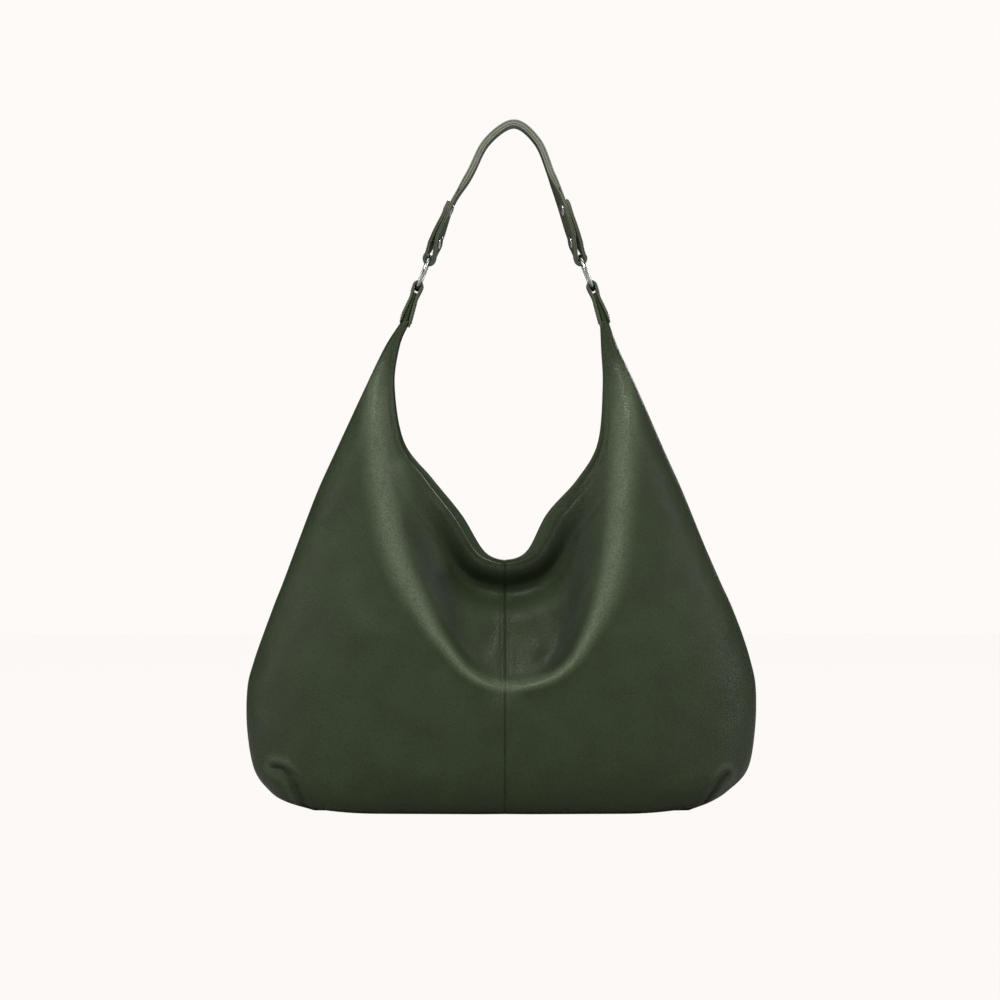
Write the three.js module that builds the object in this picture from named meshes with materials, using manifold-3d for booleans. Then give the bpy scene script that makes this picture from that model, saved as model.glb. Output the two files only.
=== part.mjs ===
// Hobo shoulder bag with two horns, a magnetic snap and a riveted strap on two rings.
// Millimetres, +Z up. The front faces -Y and the centre seams lie on x = 0.
// The origin is on the floor, under the middle of the bag.
import * as THREE from 'three';
import { mergeVertices } from 'three/addons/utils/BufferGeometryUtils.js';
import Module from 'manifold-3d';

const wasm = await Module();
wasm.setup();

// ---- Driving dimensions ----
const BAG_WIDTH = 421;
const BELLY_DEPTH = 122;
const MOUTH_HEIGHT = 206; // lowest point of the rim, at the centre seams
const HORN_HEIGHT = 400.5; // where the four panels end under the ring tabs
const HORN_SPREAD = 84; // from the centre to the middle of a neck
const NECK_THICK = 10.4; // neck of a horn along X
const NECK_DEPTH = 24; // neck of a horn along Y
const LEATHER = 1.6;
const LINING = 0.9;
const LAYER_GAP = 0.6; // between a plate and the cloth that it lies on
const LINING_SLACK = 2.2; // the lining hangs a little loose inside the leather
const POCKET_SLACK = 1.6;
const SEAM_GAP = 0.3; // between two pieces that are sewn edge to edge
const FACING_THICK = 1.2;
const FACING_SPACE = 2.8; // holds the washers of the snap
const RING_RADIUS = 15; // to the middle of the wire
const WIRE_RADIUS = 1.6;
const RING_LEAN = 22; // degrees, top of the ring towards the bag's middle
const TAB_LEAN = 20;
const TAB_RISE = 30.6; // from the panels' end to the lower pivot of a ring
const TAB_LENGTH = 28;
const TAB_LEATHER = 2.4;
const STRAP_WIDTH = 20;
const STRAP_LEATHER = 1.3;
const STRAP_RISE = 112; // from the upper ring pivots to the middle of the arch
const STRAP_CORE = 1;
const LOOP_CLEARANCE = 1; // around the wire, in the loops of the strap and the tabs
const TAIL_LENGTH = 48; // of the strap's folded ends, from the ring
const RIVET_HEAD = 5; // radius
const RIVET_STEM = 1.5; // radius
const RIVET_CLEARANCE = 0.3;
const SNAP_RADIUS = 9;
const SNAP_DROP = 18; // below the rim
const ZIP_LENGTH = 130;
const ZIP_HEIGHT = (MOUTH_HEIGHT * 70) / 103; // of the zip above the floor

const HALF_WIDTH = BAG_WIDTH / 2;
const HALF_BELLY = BELLY_DEPTH / 2;
const NECK_INNER = HORN_SPREAD - NECK_THICK / 2;
const NECK_OUTER = HORN_SPREAD + NECK_THICK / 2;

// ---- Materials ----
const green = (name) => material(name, 0x3e4533, 0.5, 0);

function material(name, color, roughness, metalness) {
  return new THREE.MeshStandardMaterial({ name, color, roughness, metalness });
}

// ---- Solids from loose triangles, mirrored halves and booleans ----
function closedGeometry(triangles) {
  const geometry = new THREE.BufferGeometry();
  const flat = triangles.flat().flatMap((p) => [p.x, p.y, p.z]);
  geometry.setAttribute('position', new THREE.Float32BufferAttribute(flat, 3));
  return outward(mergeVertices(geometry, 1e-4));
}

function welded(geometry) {
  const copy = geometry.clone();
  copy.deleteAttribute('normal');
  copy.deleteAttribute('uv');
  return mergeVertices(copy, 1e-4);
}

function signedVolume(geometry) {
  const point = geometry.getAttribute('position');
  const corner = [new THREE.Vector3(), new THREE.Vector3(), new THREE.Vector3()];
  let volume = 0;
  for (let i = 0; i < geometry.index.count; i += 3) {
    corner.forEach((c, k) => c.fromBufferAttribute(point, geometry.index.getX(i + k)));
    volume += corner[0].dot(corner[1].cross(corner[2])) / 6;
  }
  return volume;
}

function outward(geometry) {
  if (signedVolume(geometry) < 0) {
    const index = geometry.index.array;
    for (let i = 0; i < index.length; i += 3) {
      [index[i], index[i + 1]] = [index[i + 1], index[i]];
    }
  }
  return geometry;
}

function solidOf(geometry) {
  const mesh = outward(welded(geometry));
  const vertProperties = new Float32Array(mesh.getAttribute('position').array);
  const triVerts = new Uint32Array(mesh.index.array);
  return new wasm.Manifold(new wasm.Mesh({ numProp: 3, vertProperties, triVerts }));
}

function geometryOf(solid) {
  const mesh = solid.getMesh();
  const geometry = new THREE.BufferGeometry();
  geometry.setAttribute('position', new THREE.BufferAttribute(mesh.vertProperties, 3));
  geometry.setIndex(new THREE.BufferAttribute(mesh.triVerts, 1));
  return geometry;
}

function cut(geometry, tools) {
  return geometryOf(tools.reduce((rest, tool) => rest.subtract(solidOf(tool)), solidOf(geometry)));
}

function joined(first, ...others) {
  return geometryOf(others.reduce((whole, next) => whole.add(solidOf(next)), solidOf(first)));
}

function boxAt(width, depth, height, x, y, z) {
  return new THREE.BoxGeometry(width, depth, height).translate(x, y, z);
}

// ---- The outer skin of a quarter of the bag ----
// Each row runs from an inner edge to the side seam. The inner edge climbs the centre seam
// and then follows the neckline to the horn.

// Centre seam: depth of the front and of the back as a share of the belly, height as a share
// of the mouth's height.
const CENTRE_SEAM = [
  [0, 0, 0],
  [0.5, 0.5, 0],
  [0.77, 0.77, 0.03],
  [0.94, 0.94, 0.13],
  [1, 1, 0.29],
  [0.97, 1, 0.46],
  [0.76, 0.95, 0.57],
  [0.52, 0.8, 0.75],
  [0.3, 0.48, 0.94],
  [0.37, 0.37, 1],
];

// Neckline: x as a share of the neck's inner edge, depth in mm, height as a share of the
// way from the mouth to the horn's end.
const NECKLINE = [
  [0, 0.37 * HALF_BELLY, 0],
  [0.25, 24, 0.04],
  [0.47, 24, 0.195],
  [0.78, 20, 0.35],
  [1.02, 16, 0.5],
  [1.09, 12, 0.68],
  [1.09, 10.5, 0.86],
  [1, 9.5, 1],
];

// Side seam, one point for each row: x as a share of the way from the neck to the bag's
// full half width, height as a share of the horns' height.
const SIDE_SEAM = [
  [0.55, 0.004],
  [0.72, 0.022],
  [0.82, 0.042],
  [0.935, 0.087],
  [0.995, 0.17],
  [1, 0.255],
  [0.98, 0.31],
  [0.915, 0.365],
  [0.835, 0.415],
  [0.8, 0.437],
  [0.745, 0.475],
  [0.635, 0.556],
  [0.51, 0.66],
  [0.385, 0.745],
  [0.235, 0.845],
  [0.105, 0.934],
  [0, 1],
];

// Fullness of each row: greatest depth as a share of the belly and its place along the row.
const FULLNESS = [
  [0, 0.5],
  [0.53, 0.5],
  [0.79, 0.45],
  [0.96, 0.4],
  [1, 0.35],
  [0.98, 0.35],
  [0.94, 0.4],
  [0.87, 0.4],
  [0.8, 0.4],
  [0.78, 0.4],
  [0.74, 0.4],
  [0.66, 0.4],
  [0.57, 0.42],
  [0.47, 0.45],
  [0.36, 0.48],
  [0.27, 0.5],
  [NECK_DEPTH / BELLY_DEPTH, 0.5],
];

const LAST_ROW = SIDE_SEAM.length - 1;
const RIM_ROW = CENTRE_SEAM.length - 1;
const FLAT_SHARE = 0.6; // of the bottom rows that lies flat on the floor
const RIDGE_AT = 0.45; // column of the fullest point

function splineOf(points) {
  return new THREE.CatmullRomCurve3(points, false, 'centripetal');
}

const sideCurve = splineOf(SIDE_SEAM.map(([reach, height]) => new THREE.Vector3(
  THREE.MathUtils.lerp(NECK_OUTER, HALF_WIDTH, reach), 0, height * HORN_HEIGHT)));
const fullnessCurve = splineOf(FULLNESS.map(([share, place]) => new THREE.Vector3(
  share * HALF_BELLY, place, 0)));
const necklineCurve = splineOf(NECKLINE.map(([x, depth, climb]) => new THREE.Vector3(
  x * NECK_INNER, depth, THREE.MathUtils.lerp(MOUTH_HEIGHT, HORN_HEIGHT, climb))));
const centreCurve = {};
['front', 'back'].forEach((face, column) => {
  centreCurve[face] = splineOf(CENTRE_SEAM.map((row) => new THREE.Vector3(
    0, row[column] * HALF_BELLY, row[2] * MOUTH_HEIGHT)));
});

function innerEdge(face, row) {
  if (row <= RIM_ROW) {
    return centreCurve[face].getPoint(row / RIM_ROW);
  }
  return necklineCurve.getPoint((row - RIM_ROW) / (LAST_ROW - RIM_ROW));
}

// A point of the skin: column 0 is the inner edge and 1 the side seam, row counts from 0.
function skinPoint(face, column, row) {
  const inner = innerEdge(face, row);
  const side = sideCurve.getPoint(row / LAST_ROW);
  const full = fullnessCurve.getPoint(row / LAST_ROW);
  let across;
  let depth;
  if (column < RIDGE_AT) {
    const share = column / RIDGE_AT;
    across = full.y * share;
    depth = THREE.MathUtils.lerp(inner.y, full.x, (1 - Math.cos(Math.PI * share)) / 2);
  } else {
    const angle = ((column - RIDGE_AT) / (1 - RIDGE_AT)) * (Math.PI / 2);
    across = full.y + (1 - full.y) * Math.sin(angle);
    depth = full.x * Math.cos(angle);
  }
  const raised = Math.max(0, (across - FLAT_SHARE) / (1 - FLAT_SHARE)) ** 2;
  const tilt = THREE.MathUtils.lerp(raised, across, Math.min(1, row / RIM_ROW));
  return new THREE.Vector3(
    THREE.MathUtils.lerp(inner.x, side.x, across),
    Math.max(0, depth),
    Math.max(0, THREE.MathUtils.lerp(inner.z, side.z, tilt)),
  );
}

function skinNormal(face, column, row) {
  const step = 0.01;
  const c = THREE.MathUtils.clamp(column, step, 1 - 2 * step);
  const r = THREE.MathUtils.clamp(row, 0.15, LAST_ROW - 0.15);
  const along = skinPoint(face, c + step, r).sub(skinPoint(face, c - step, r));
  const up = skinPoint(face, c, r + 0.1).sub(skinPoint(face, c, r - 0.1));
  return up.cross(along).normalize();
}

// A point below the skin, kept on its own side of the seams.
function layerPoint(face, side, column, row, below, seam) {
  const skin = skinPoint(face, column, row);
  const point = skin.clone().addScaledVector(skinNormal(face, column, row), -below);
  const x = skin.x < 1e-6 ? seam : Math.max(seam, point.x);
  const y = Math.max(0, point.y) + SEAM_GAP / 2;
  return new THREE.Vector3(x * side, face === 'front' ? -y : y, Math.max(0, point.z));
}

// A cloth between two depths under the skin. place(u, v) gives its column and row, lift(u, v)
// how far it bulges away from the skin. With both sides its halves meet on x = 0.
function cloth({ face, sides, steps, place, top, thick, lift = () => 0 }) {
  const [across, up] = steps;
  const triangles = [];
  const seam = sides.length === 2 ? 0 : SEAM_GAP / 2;
  for (const side of sides) {
    const layer = [0, 1].map((deep) => Array.from({ length: up + 1 }, (_, j) => (
      Array.from({ length: across + 1 }, (_unused, i) => {
        const [column, row] = place(i / across, j / up);
        const below = top + lift(i / across, j / up) + deep * thick;
        return layerPoint(face, side, column, row, below, seam);
      }))));
    const quad = (a, b, c, d) => {
      const corners = side > 0 ? [a, b, c, d] : [d, c, b, a];
      triangles.push([corners[0], corners[1], corners[2]], [corners[0], corners[2], corners[3]]);
    };
    const wall = (j0, i0, j1, i1) => {
      const [a, b] = [layer[0][j0][i0], layer[0][j1][i1]];
      const [c, d] = [layer[1][j1][i1], layer[1][j0][i0]];
      const onCentre = [a, b, c, d].every((p) => Math.abs(p.x) < 1e-6);
      if (!onCentre) {
        quad(a, b, c, d);
      }
    };
    for (let j = 0; j < up; j += 1) {
      for (let i = 0; i < across; i += 1) {
        quad(layer[0][j][i], layer[0][j + 1][i], layer[0][j + 1][i + 1], layer[0][j][i + 1]);
        quad(layer[1][j][i], layer[1][j][i + 1], layer[1][j + 1][i + 1], layer[1][j + 1][i]);
      }
      wall(j + 1, 0, j, 0);
      wall(j, across, j + 1, across);
    }
    for (let i = 0; i < across; i += 1) {
      wall(0, i, 0, i + 1);
      wall(up, i + 1, up, i);
    }
  }
  return closedGeometry(triangles);
}

// ---- Leather panels ----
const COLUMN_WIDTH = 21; // widest facet of a panel or a lining
const PANEL_COLUMNS = Math.round(HALF_WIDTH / COLUMN_WIDTH);

function panel(face, side) {
  return cloth({
    face,
    sides: [side],
    steps: [PANEL_COLUMNS, 20],
    place: (u, v) => [u, v * LAST_ROW],
    top: 0,
    thick: LEATHER,
  });
}

// ---- Facing: the leather band inside the neckline ----
const FACING_ROW = 7.6; // where its lower edge crosses the centre seam
const FACING_END_ROW = 14.6;
const FACING_COLUMN = 0.3;
const FACING_CROWDING = 1.5; // more sections near the centre, where the wall is hollow
const FACING_TURN = 0.3; // share of the band in which its lower edge leaves the centre

function facingEdge(row) {
  const climb = (row - FACING_ROW) / (FACING_END_ROW - FACING_ROW);
  const turn = THREE.MathUtils.clamp(climb / FACING_TURN, 0, 1);
  return FACING_COLUMN * Math.sin(turn * (Math.PI / 2));
}

function facing(face) {
  return cloth({
    face,
    sides: [1, -1],
    steps: [4, 14],
    place: (u, share) => {
      const v = share ** FACING_CROWDING;
      const lowRow = THREE.MathUtils.lerp(FACING_ROW, FACING_END_ROW, v);
      const rimRow = THREE.MathUtils.lerp(RIM_ROW, FACING_END_ROW, v);
      return [u * facingEdge(lowRow), THREE.MathUtils.lerp(rimRow, lowRow, u)];
    },
    top: LEATHER + FACING_SPACE,
    thick: FACING_THICK,
  });
}

// ---- Lining: one cloth each side, from the facing's edge to the side seam ----
const LINING_TOP = LEATHER + LINING_SLACK;
const LINING_END_ROW = 13.4;
const LINING_ROWS = [8, 11]; // below and above the facing's edge
const LINING_SEAM_STEP = 0.2; // rows between the facing's edge and the lining's
const LINING_SEAM_COLUMN = 0.03;
const LINING_CROWDING = 1.3; // more sections near the centre

function lining(face) {
  const turnRow = FACING_ROW - LINING_SEAM_STEP;
  const [below, above] = LINING_ROWS;
  return cloth({
    face,
    sides: [1, -1],
    steps: [PANEL_COLUMNS - 1, below + above],
    place: (u, v) => {
      const step = Math.round(v * (below + above)) - below;
      if (step <= 0) {
        return [u, turnRow * (1 + step / below)];
      }
      const row = THREE.MathUtils.lerp(turnRow, LINING_END_ROW, (step / above) ** LINING_CROWDING);
      const start = facingEdge(row + LINING_SEAM_STEP) + LINING_SEAM_COLUMN;
      return [THREE.MathUtils.lerp(start, 1, u), row];
    },
    top: LINING_TOP,
    thick: LINING,
  });
}

// ---- Pockets sewn on the linings, open at the top ----
const POCKET_TOP = LINING_TOP + LINING + POCKET_SLACK;
const POCKET_COLUMN = 0.3;
const SLIP_POCKET = { face: 'front', rows: [2.9, 5.5], fullness: 12 };
const ZIP_POCKET = { face: 'back', rows: [3.1, 6.05], fullness: 3 };

function pocket({ face, rows, fullness }) {
  return cloth({
    face,
    sides: [1, -1],
    steps: [4, 6],
    place: (u, v) => [u * POCKET_COLUMN, THREE.MathUtils.lerp(rows[0], rows[1], v)],
    top: POCKET_TOP,
    thick: LINING,
    lift: (u, v) => fullness * Math.cos(u * (Math.PI / 2)) * Math.sin(v * (Math.PI / 2)),
  });
}

// A frame on the centre of a wall, at a height: local +Z points into the bag, +Y up the wall.
function wallFrame(face, height, below) {
  let low = 1;
  let high = RIM_ROW;
  for (let i = 0; i < 30; i += 1) {
    const middle = (low + high) / 2;
    if (centreCurve[face].getPoint(middle / RIM_ROW).z < height) {
      low = middle;
    } else {
      high = middle;
    }
  }
  const toBack = face === 'front' ? 1 : -1;
  const point = skinPoint(face, 0, low);
  const normal = skinNormal(face, 0, low);
  const inward = new THREE.Vector3(0, toBack * normal.y, -normal.z).normalize();
  const frame = new THREE.Group();
  frame.position.set(0, -toBack * point.y, point.z).addScaledVector(inward, below);
  const right = new THREE.Vector3(-toBack, 0, 0);
  const axes = new THREE.Matrix4().makeBasis(right, inward.clone().cross(right), inward);
  frame.quaternion.setFromRotationMatrix(axes);
  return frame;
}

// ---- Zip of the inner pocket ----
const ZIP_STAND = 3.2; // from the lining to the back of the tapes
const TAPE_WIDTH = 9;
const TAPE_THICK = 0.7;
const COIL_WIDTH = 1.8;
const COIL_THICK = 1.4;
const ZIP_CLEARANCE = 0.3;
const SLIDER_LENGTH = 9;
const SLIDER_WALL = 0.9;
const LUG_HEIGHT = 2.8;
const LUG_WIDTH = 2.4;
const LUG_LENGTH = 3;
const PULL_PIN = 0.6; // radius
const PULL_LENGTH = 22;
const PULL_CHEEK = 1.2;
const PULL_THICK = 1.4;
const SLIDER_REST = ZIP_LENGTH / 2 - SLIDER_LENGTH / 2 - 4;

function addZip(bag) {
  const frame = wallFrame('back', ZIP_HEIGHT, LINING_TOP + LINING + ZIP_STAND);
  const cloths = material('zip_cloth', 0x23261f, 0.9, 0);
  const nylon = material('zip_nylon', 0x1e211b, 0.6, 0);
  const metal = material('zip_metal', 0xb9bcbd, 0.25, 1);
  for (const [name, way] of [['upper', 1], ['lower', -1]]) {
    const tapeMiddle = way * (ZIP_CLEARANCE / 2 + TAPE_WIDTH / 2);
    const coilMiddle = way * (ZIP_CLEARANCE / 2 + COIL_WIDTH / 2);
    const coilBase = TAPE_THICK + ZIP_CLEARANCE;
    add(frame, `zip_tape_${name}`, cloths.clone(),
      boxAt(ZIP_LENGTH, TAPE_WIDTH, TAPE_THICK, 0, tapeMiddle, TAPE_THICK / 2));
    add(frame, `zip_coil_${name}`, nylon.clone(),
      boxAt(ZIP_LENGTH - 6, COIL_WIDTH, COIL_THICK, 0, coilMiddle, coilBase + COIL_THICK / 2));
  }
  const channelHeight = COIL_THICK + 2 * ZIP_CLEARANCE;
  const channelWidth = 2 * COIL_WIDTH + 3 * ZIP_CLEARANCE;
  const floor = TAPE_THICK + ZIP_CLEARANCE / 2 + 0.1;
  const roof = floor + channelHeight;
  const body = boxAt(SLIDER_LENGTH, channelWidth + 2 * SLIDER_WALL, channelHeight + SLIDER_WALL,
    0, 0, floor + (channelHeight + SLIDER_WALL) / 2);
  const channel = boxAt(SLIDER_LENGTH + 2, channelWidth, 2 * channelHeight, 0, 0, roof - channelHeight);
  const top = roof + SLIDER_WALL;
  const pinHeight = top + LUG_HEIGHT / 2;
  const lug = boxAt(LUG_LENGTH, LUG_WIDTH, LUG_HEIGHT + SLIDER_WALL, 0, 0,
    top + (LUG_HEIGHT - SLIDER_WALL) / 2);
  const pinHole = new THREE.CylinderGeometry(PULL_PIN + ZIP_CLEARANCE, PULL_PIN + ZIP_CLEARANCE,
    LUG_WIDTH + 2, 12).translate(0, 0, pinHeight);
  const slider = cut(joined(body, lug), [channel, pinHole]).translate(SLIDER_REST, 0, 0);
  add(frame, 'zip_slider', metal.clone(), slider);

  const cheekGap = LUG_WIDTH + 2 * ZIP_CLEARANCE;
  const cheeks = [1, -1].map((way) => boxAt(LUG_LENGTH + 1.5, PULL_CHEEK, PULL_THICK,
    -1.25, way * (cheekGap + PULL_CHEEK) / 2, pinHeight));
  const pin = new THREE.CylinderGeometry(PULL_PIN, PULL_PIN, cheekGap + PULL_CHEEK, 12)
    .translate(0, 0, pinHeight);
  const bladeStart = LUG_LENGTH / 2 + 1;
  const blade = boxAt(PULL_LENGTH, cheekGap + 2 * PULL_CHEEK, PULL_THICK,
    -bladeStart - PULL_LENGTH / 2, 0, pinHeight);
  const pull = joined(blade, ...cheeks, pin).translate(SLIDER_REST, 0, 0);
  add(frame, 'zip_pull', metal.clone(), pull);
  bag.add(frame);
}

// ---- Magnetic snap under the rim ----
const SNAP_PLATE = 2.6;
const SNAP_WASHER = 0.5;
const WASHER_RADIUS = 6;
const STUD_RADIUS = 4;
const STUD_LENGTH = 2.5;
const SOCKET_CLEARANCE = 0.4;

function turned(profile, segments = 16) {
  const points = profile.map(([radius, height]) => new THREE.Vector2(radius, height));
  return new THREE.LatheGeometry(points, segments).rotateX(Math.PI / 2);
}

function addSnap(bag) {
  const steel = material('snap_steel', 0xb4b6b4, 0.3, 1);
  const height = MOUTH_HEIGHT - SNAP_DROP;
  const plateStart = LEATHER + FACING_SPACE + FACING_THICK + LAYER_GAP;
  const washerStart = LEATHER + LAYER_GAP;
  const washer = [[0, 0], [WASHER_RADIUS, 0], [WASHER_RADIUS, SNAP_WASHER], [0, SNAP_WASHER]];
  const socketBore = STUD_RADIUS + SOCKET_CLEARANCE;
  const socket = [[0, 0], [SNAP_RADIUS, 0], [SNAP_RADIUS, SNAP_PLATE - 0.5],
    [SNAP_RADIUS - 0.5, SNAP_PLATE], [socketBore, SNAP_PLATE], [socketBore, SNAP_PLATE / 2],
    [0, SNAP_PLATE / 2]];
  const stud = [[0, 0], [SNAP_RADIUS, 0], [SNAP_RADIUS, SNAP_PLATE - 1],
    [SNAP_RADIUS - 0.5, SNAP_PLATE - 0.5], [STUD_RADIUS, SNAP_PLATE - 0.5],
    [STUD_RADIUS, SNAP_PLATE - 0.5 + STUD_LENGTH], [0, SNAP_PLATE - 0.5 + STUD_LENGTH]];
  for (const [face, name, profile] of [['front', 'socket', socket], ['back', 'stud', stud]]) {
    const plates = wallFrame(face, height, plateStart);
    add(plates, `snap_${name}`, steel.clone(), turned(profile));
    const washers = wallFrame(face, height, washerStart);
    add(washers, `snap_${name}_washer`, steel.clone(), turned(washer));
    bag.add(plates, washers);
  }
}

// ---- Rings and where they pivot ----
const radians = THREE.MathUtils.degToRad;
const ringWay = new THREE.Vector2(-Math.sin(radians(RING_LEAN)), Math.cos(radians(RING_LEAN)));
const tabWay = new THREE.Vector2(Math.sin(radians(TAB_LEAN)), -Math.cos(radians(TAB_LEAN)));
const lowerPivot = new THREE.Vector2(HORN_SPREAD, HORN_HEIGHT)
  .addScaledVector(tabWay, -TAB_RISE / Math.cos(radians(TAB_LEAN)));
const ringMiddle = lowerPivot.clone().addScaledVector(ringWay, RING_RADIUS);
const upperPivot = lowerPivot.clone().addScaledVector(ringWay, 2 * RING_RADIUS);

function addRings(bag) {
  const chrome = material('polished_steel', 0xd6d8d8, 0.08, 1);
  for (const [name, side] of [['left', -1], ['right', 1]]) {
    const ring = new THREE.TorusGeometry(RING_RADIUS, WIRE_RADIUS, 8, 28)
      .rotateY(Math.PI / 2)
      .rotateY(radians(-RING_LEAN) * side)
      .translate(side * ringMiddle.x, 0, ringMiddle.y);
    add(bag, `ring_${name}`, chrome.clone(), ring);
  }
}

// How far the ring's wire has curved back at a distance from the middle of the loop.
function ringSag(y) {
  return RING_RADIUS - Math.sqrt(RING_RADIUS ** 2 - y ** 2);
}

// ---- Flat bands: an outline in the XZ plane, extruded along Y ----
const BAND_STEPS = 4;

// The outline is in local units, (across, along), placed at a pivot. Near the pivot the band
// is pulled along the ring's curve by sag(y), which fades out over a stretch of fade mm.
function band(outline, width, steps = BAND_STEPS) {
  const shape = new THREE.Shape(outline);
  const geometry = new THREE.ExtrudeGeometry(shape, { depth: width, steps, bevelEnabled: false });
  return geometry.translate(0, 0, -width / 2).rotateX(Math.PI / 2);
}

function saddle(geometry, pivot, towards, fade) {
  const point = geometry.getAttribute('position');
  for (let i = 0; i < point.count; i += 1) {
    const away = Math.hypot(point.getX(i) - pivot.x, point.getZ(i) - pivot.y);
    const share = 1 - THREE.MathUtils.smoothstep(away, fade / 3, fade);
    const sag = ringSag(point.getY(i)) * share;
    point.setX(i, point.getX(i) + towards.x * sag);
    point.setZ(i, point.getZ(i) + towards.y * sag);
  }
  return geometry;
}

// ---- Ring tabs and the gathered ends of the horns between their legs ----
const LOOP_INNER = WIRE_RADIUS + LOOP_CLEARANCE;
const HORN_END_START = 12; // from the ring's pivot
const HORN_END_HALF = 3.1; // half its thickness at the tab's end
const HORN_END_GAP = 0.35;

function tabPoint(side, across, along) {
  const normal = new THREE.Vector2(-tabWay.y, tabWay.x);
  const point = lowerPivot.clone().addScaledVector(tabWay, along).addScaledVector(normal, across);
  return new THREE.Vector2(point.x * side, point.y);
}

function legGap(along) {
  const share = (along - HORN_END_START) / (TAB_LENGTH - HORN_END_START);
  return THREE.MathUtils.lerp(1.2, HORN_END_HALF, Math.max(0, share)) + HORN_END_GAP;
}

function ringTab(side) {
  const stations = [[TAB_LENGTH, legGap(TAB_LENGTH)], [(TAB_LENGTH + HORN_END_START) / 2,
    legGap((TAB_LENGTH + HORN_END_START) / 2)], [HORN_END_START, legGap(HORN_END_START)],
  [7, 2], [3, LOOP_INNER - 0.2]];
  const arc = Array.from({ length: 7 }, (_, i) => (Math.PI * i) / 6);
  const outer = [
    ...stations.map(([along, gap]) => [gap + TAB_LEATHER, along]),
    ...arc.map((a) => [(LOOP_INNER + TAB_LEATHER) * Math.cos(a), -(LOOP_INNER + TAB_LEATHER) * Math.sin(a)]),
    ...stations.toReversed().map(([along, gap]) => [-gap - TAB_LEATHER, along]),
  ];
  const inner = [
    ...stations.map(([along, gap]) => [-gap, along]),
    ...arc.map((a) => [-LOOP_INNER * Math.cos(a), -LOOP_INNER * Math.sin(a)]),
    ...stations.toReversed().map(([along, gap]) => [gap, along]),
  ];
  const outline = [...outer, ...inner].map(([across, along]) => tabPoint(side, across, along));
  const pivot = new THREE.Vector2(side * lowerPivot.x, lowerPivot.y);
  const towards = new THREE.Vector2(side * ringWay.x, ringWay.y);
  return saddle(band(outline, STRAP_WIDTH), pivot, towards, HORN_END_START);
}

function hornEnd(side) {
  const foot = (HORN_HEIGHT + 2.6 - lowerPivot.y) / tabWay.y;
  const low = HORN_END_HALF;
  const outline = [[1.2, HORN_END_START], [low, TAB_LENGTH], [low + 0.6, foot - 1.2], [-low, foot + 1.2],
    [-low, TAB_LENGTH], [-1.2, HORN_END_START]].map(([a, w]) => tabPoint(side, a, w));
  return band(outline, STRAP_WIDTH, 1);
}

// ---- Strap: two leathers over a core, folded around each ring and riveted ----
const SIDES = {
  left: { side: -1, lean: 21 },
  right: { side: 1, lean: 17 },
};
const LAYER_SPACE = 0.3;
const ARCH_STEP = 13;
const FOLD_GAP = 0.3; // between the strap and its own tail
const LOOP_LENGTH = 9; // from the ring to where the tail lies on the strap
const HALF_STRAP = STRAP_LEATHER + LAYER_SPACE / 2;
const LOOP_MIDDLE = LOOP_INNER + HALF_STRAP;
const LAID_MIDDLE = HALF_STRAP + FOLD_GAP / 2;
const RIVETS = { lower: LOOP_LENGTH + 5, upper: TAIL_LENGTH - 7 };

// Arch between the legs: x as a share of the ring's distance, height as a share of the rise.
const ARCH = [
  [-0.48, 0.63],
  [-0.24, 0.88],
  [0.13, 1],
  [0.42, 0.9],
  [0.62, 0.66],
];

// A point beside a strap's end: across is positive towards the middle of the bag.
function legPoint({ side, lean }, across, along) {
  const [sin, cos] = [Math.sin(radians(lean)), Math.cos(radians(lean))];
  const x = upperPivot.x - along * sin - across * cos;
  return new THREE.Vector2(side * x, upperPivot.y + along * cos - across * sin);
}

function loopOffset(along) {
  return THREE.MathUtils.lerp(LOOP_MIDDLE, LAID_MIDDLE, THREE.MathUtils.smoothstep(along, 0, LOOP_LENGTH));
}

// Middle line of one end from the tail's tip round the ring to the foot of the leg.
function endRoute(end) {
  const tail = [TAIL_LENGTH, 26, LOOP_LENGTH, 6, 3, 0];
  const arc = Array.from({ length: 7 }, (_, i) => (Math.PI * (i + 0.5)) / 7);
  const points = tail.map((along) => legPoint(end, -loopOffset(along), along));
  arc.forEach((a) => points.push(legPoint(end, -LOOP_MIDDLE * Math.cos(a), -LOOP_MIDDLE * Math.sin(a))));
  tail.slice(2).toReversed().forEach((along) => points.push(legPoint(end, loopOffset(along), along)));
  return points;
}

function strapRoute() {
  const flatOf = (point) => new THREE.Vector3(point.x, 0, point.y);
  const { left, right } = SIDES;
  const legs = [18, 32, TAIL_LENGTH];
  const arch = ARCH.map(([x, rise]) => new THREE.Vector3(
    x * upperPivot.x, 0, upperPivot.y + rise * STRAP_RISE));
  const guide = splineOf([
    flatOf(legPoint(left, LAID_MIDDLE, LOOP_LENGTH)),
    ...legs.map((along) => flatOf(legPoint(left, LAID_MIDDLE, along))),
    ...arch,
    ...legs.toReversed().map((along) => flatOf(legPoint(right, LAID_MIDDLE, along))),
    flatOf(legPoint(right, LAID_MIDDLE, LOOP_LENGTH)),
  ]);
  const steps = Math.round(guide.getLength() / ARCH_STEP);
  const middle = guide.getSpacedPoints(steps).slice(1, -1).map((p) => new THREE.Vector2(p.x, p.z));
  return [...endRoute(left), ...middle, ...endRoute(right).toReversed()];
}

// How far the two leathers are held apart by the core, along the route.
function coreSpread(point) {
  const tailTop = upperPivot.y + TAIL_LENGTH * Math.cos(radians(SIDES.left.lean));
  return (STRAP_CORE / 2 + LAYER_SPACE / 2) * THREE.MathUtils.smoothstep(point.y, tailTop + 3, tailTop + 14);
}

function routeNormals(route) {
  return route.map((_, i) => {
    const way = route[Math.min(i + 1, route.length - 1)].clone().sub(route[Math.max(i - 1, 0)]).normalize();
    return new THREE.Vector2(-way.y, way.x);
  });
}

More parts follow.
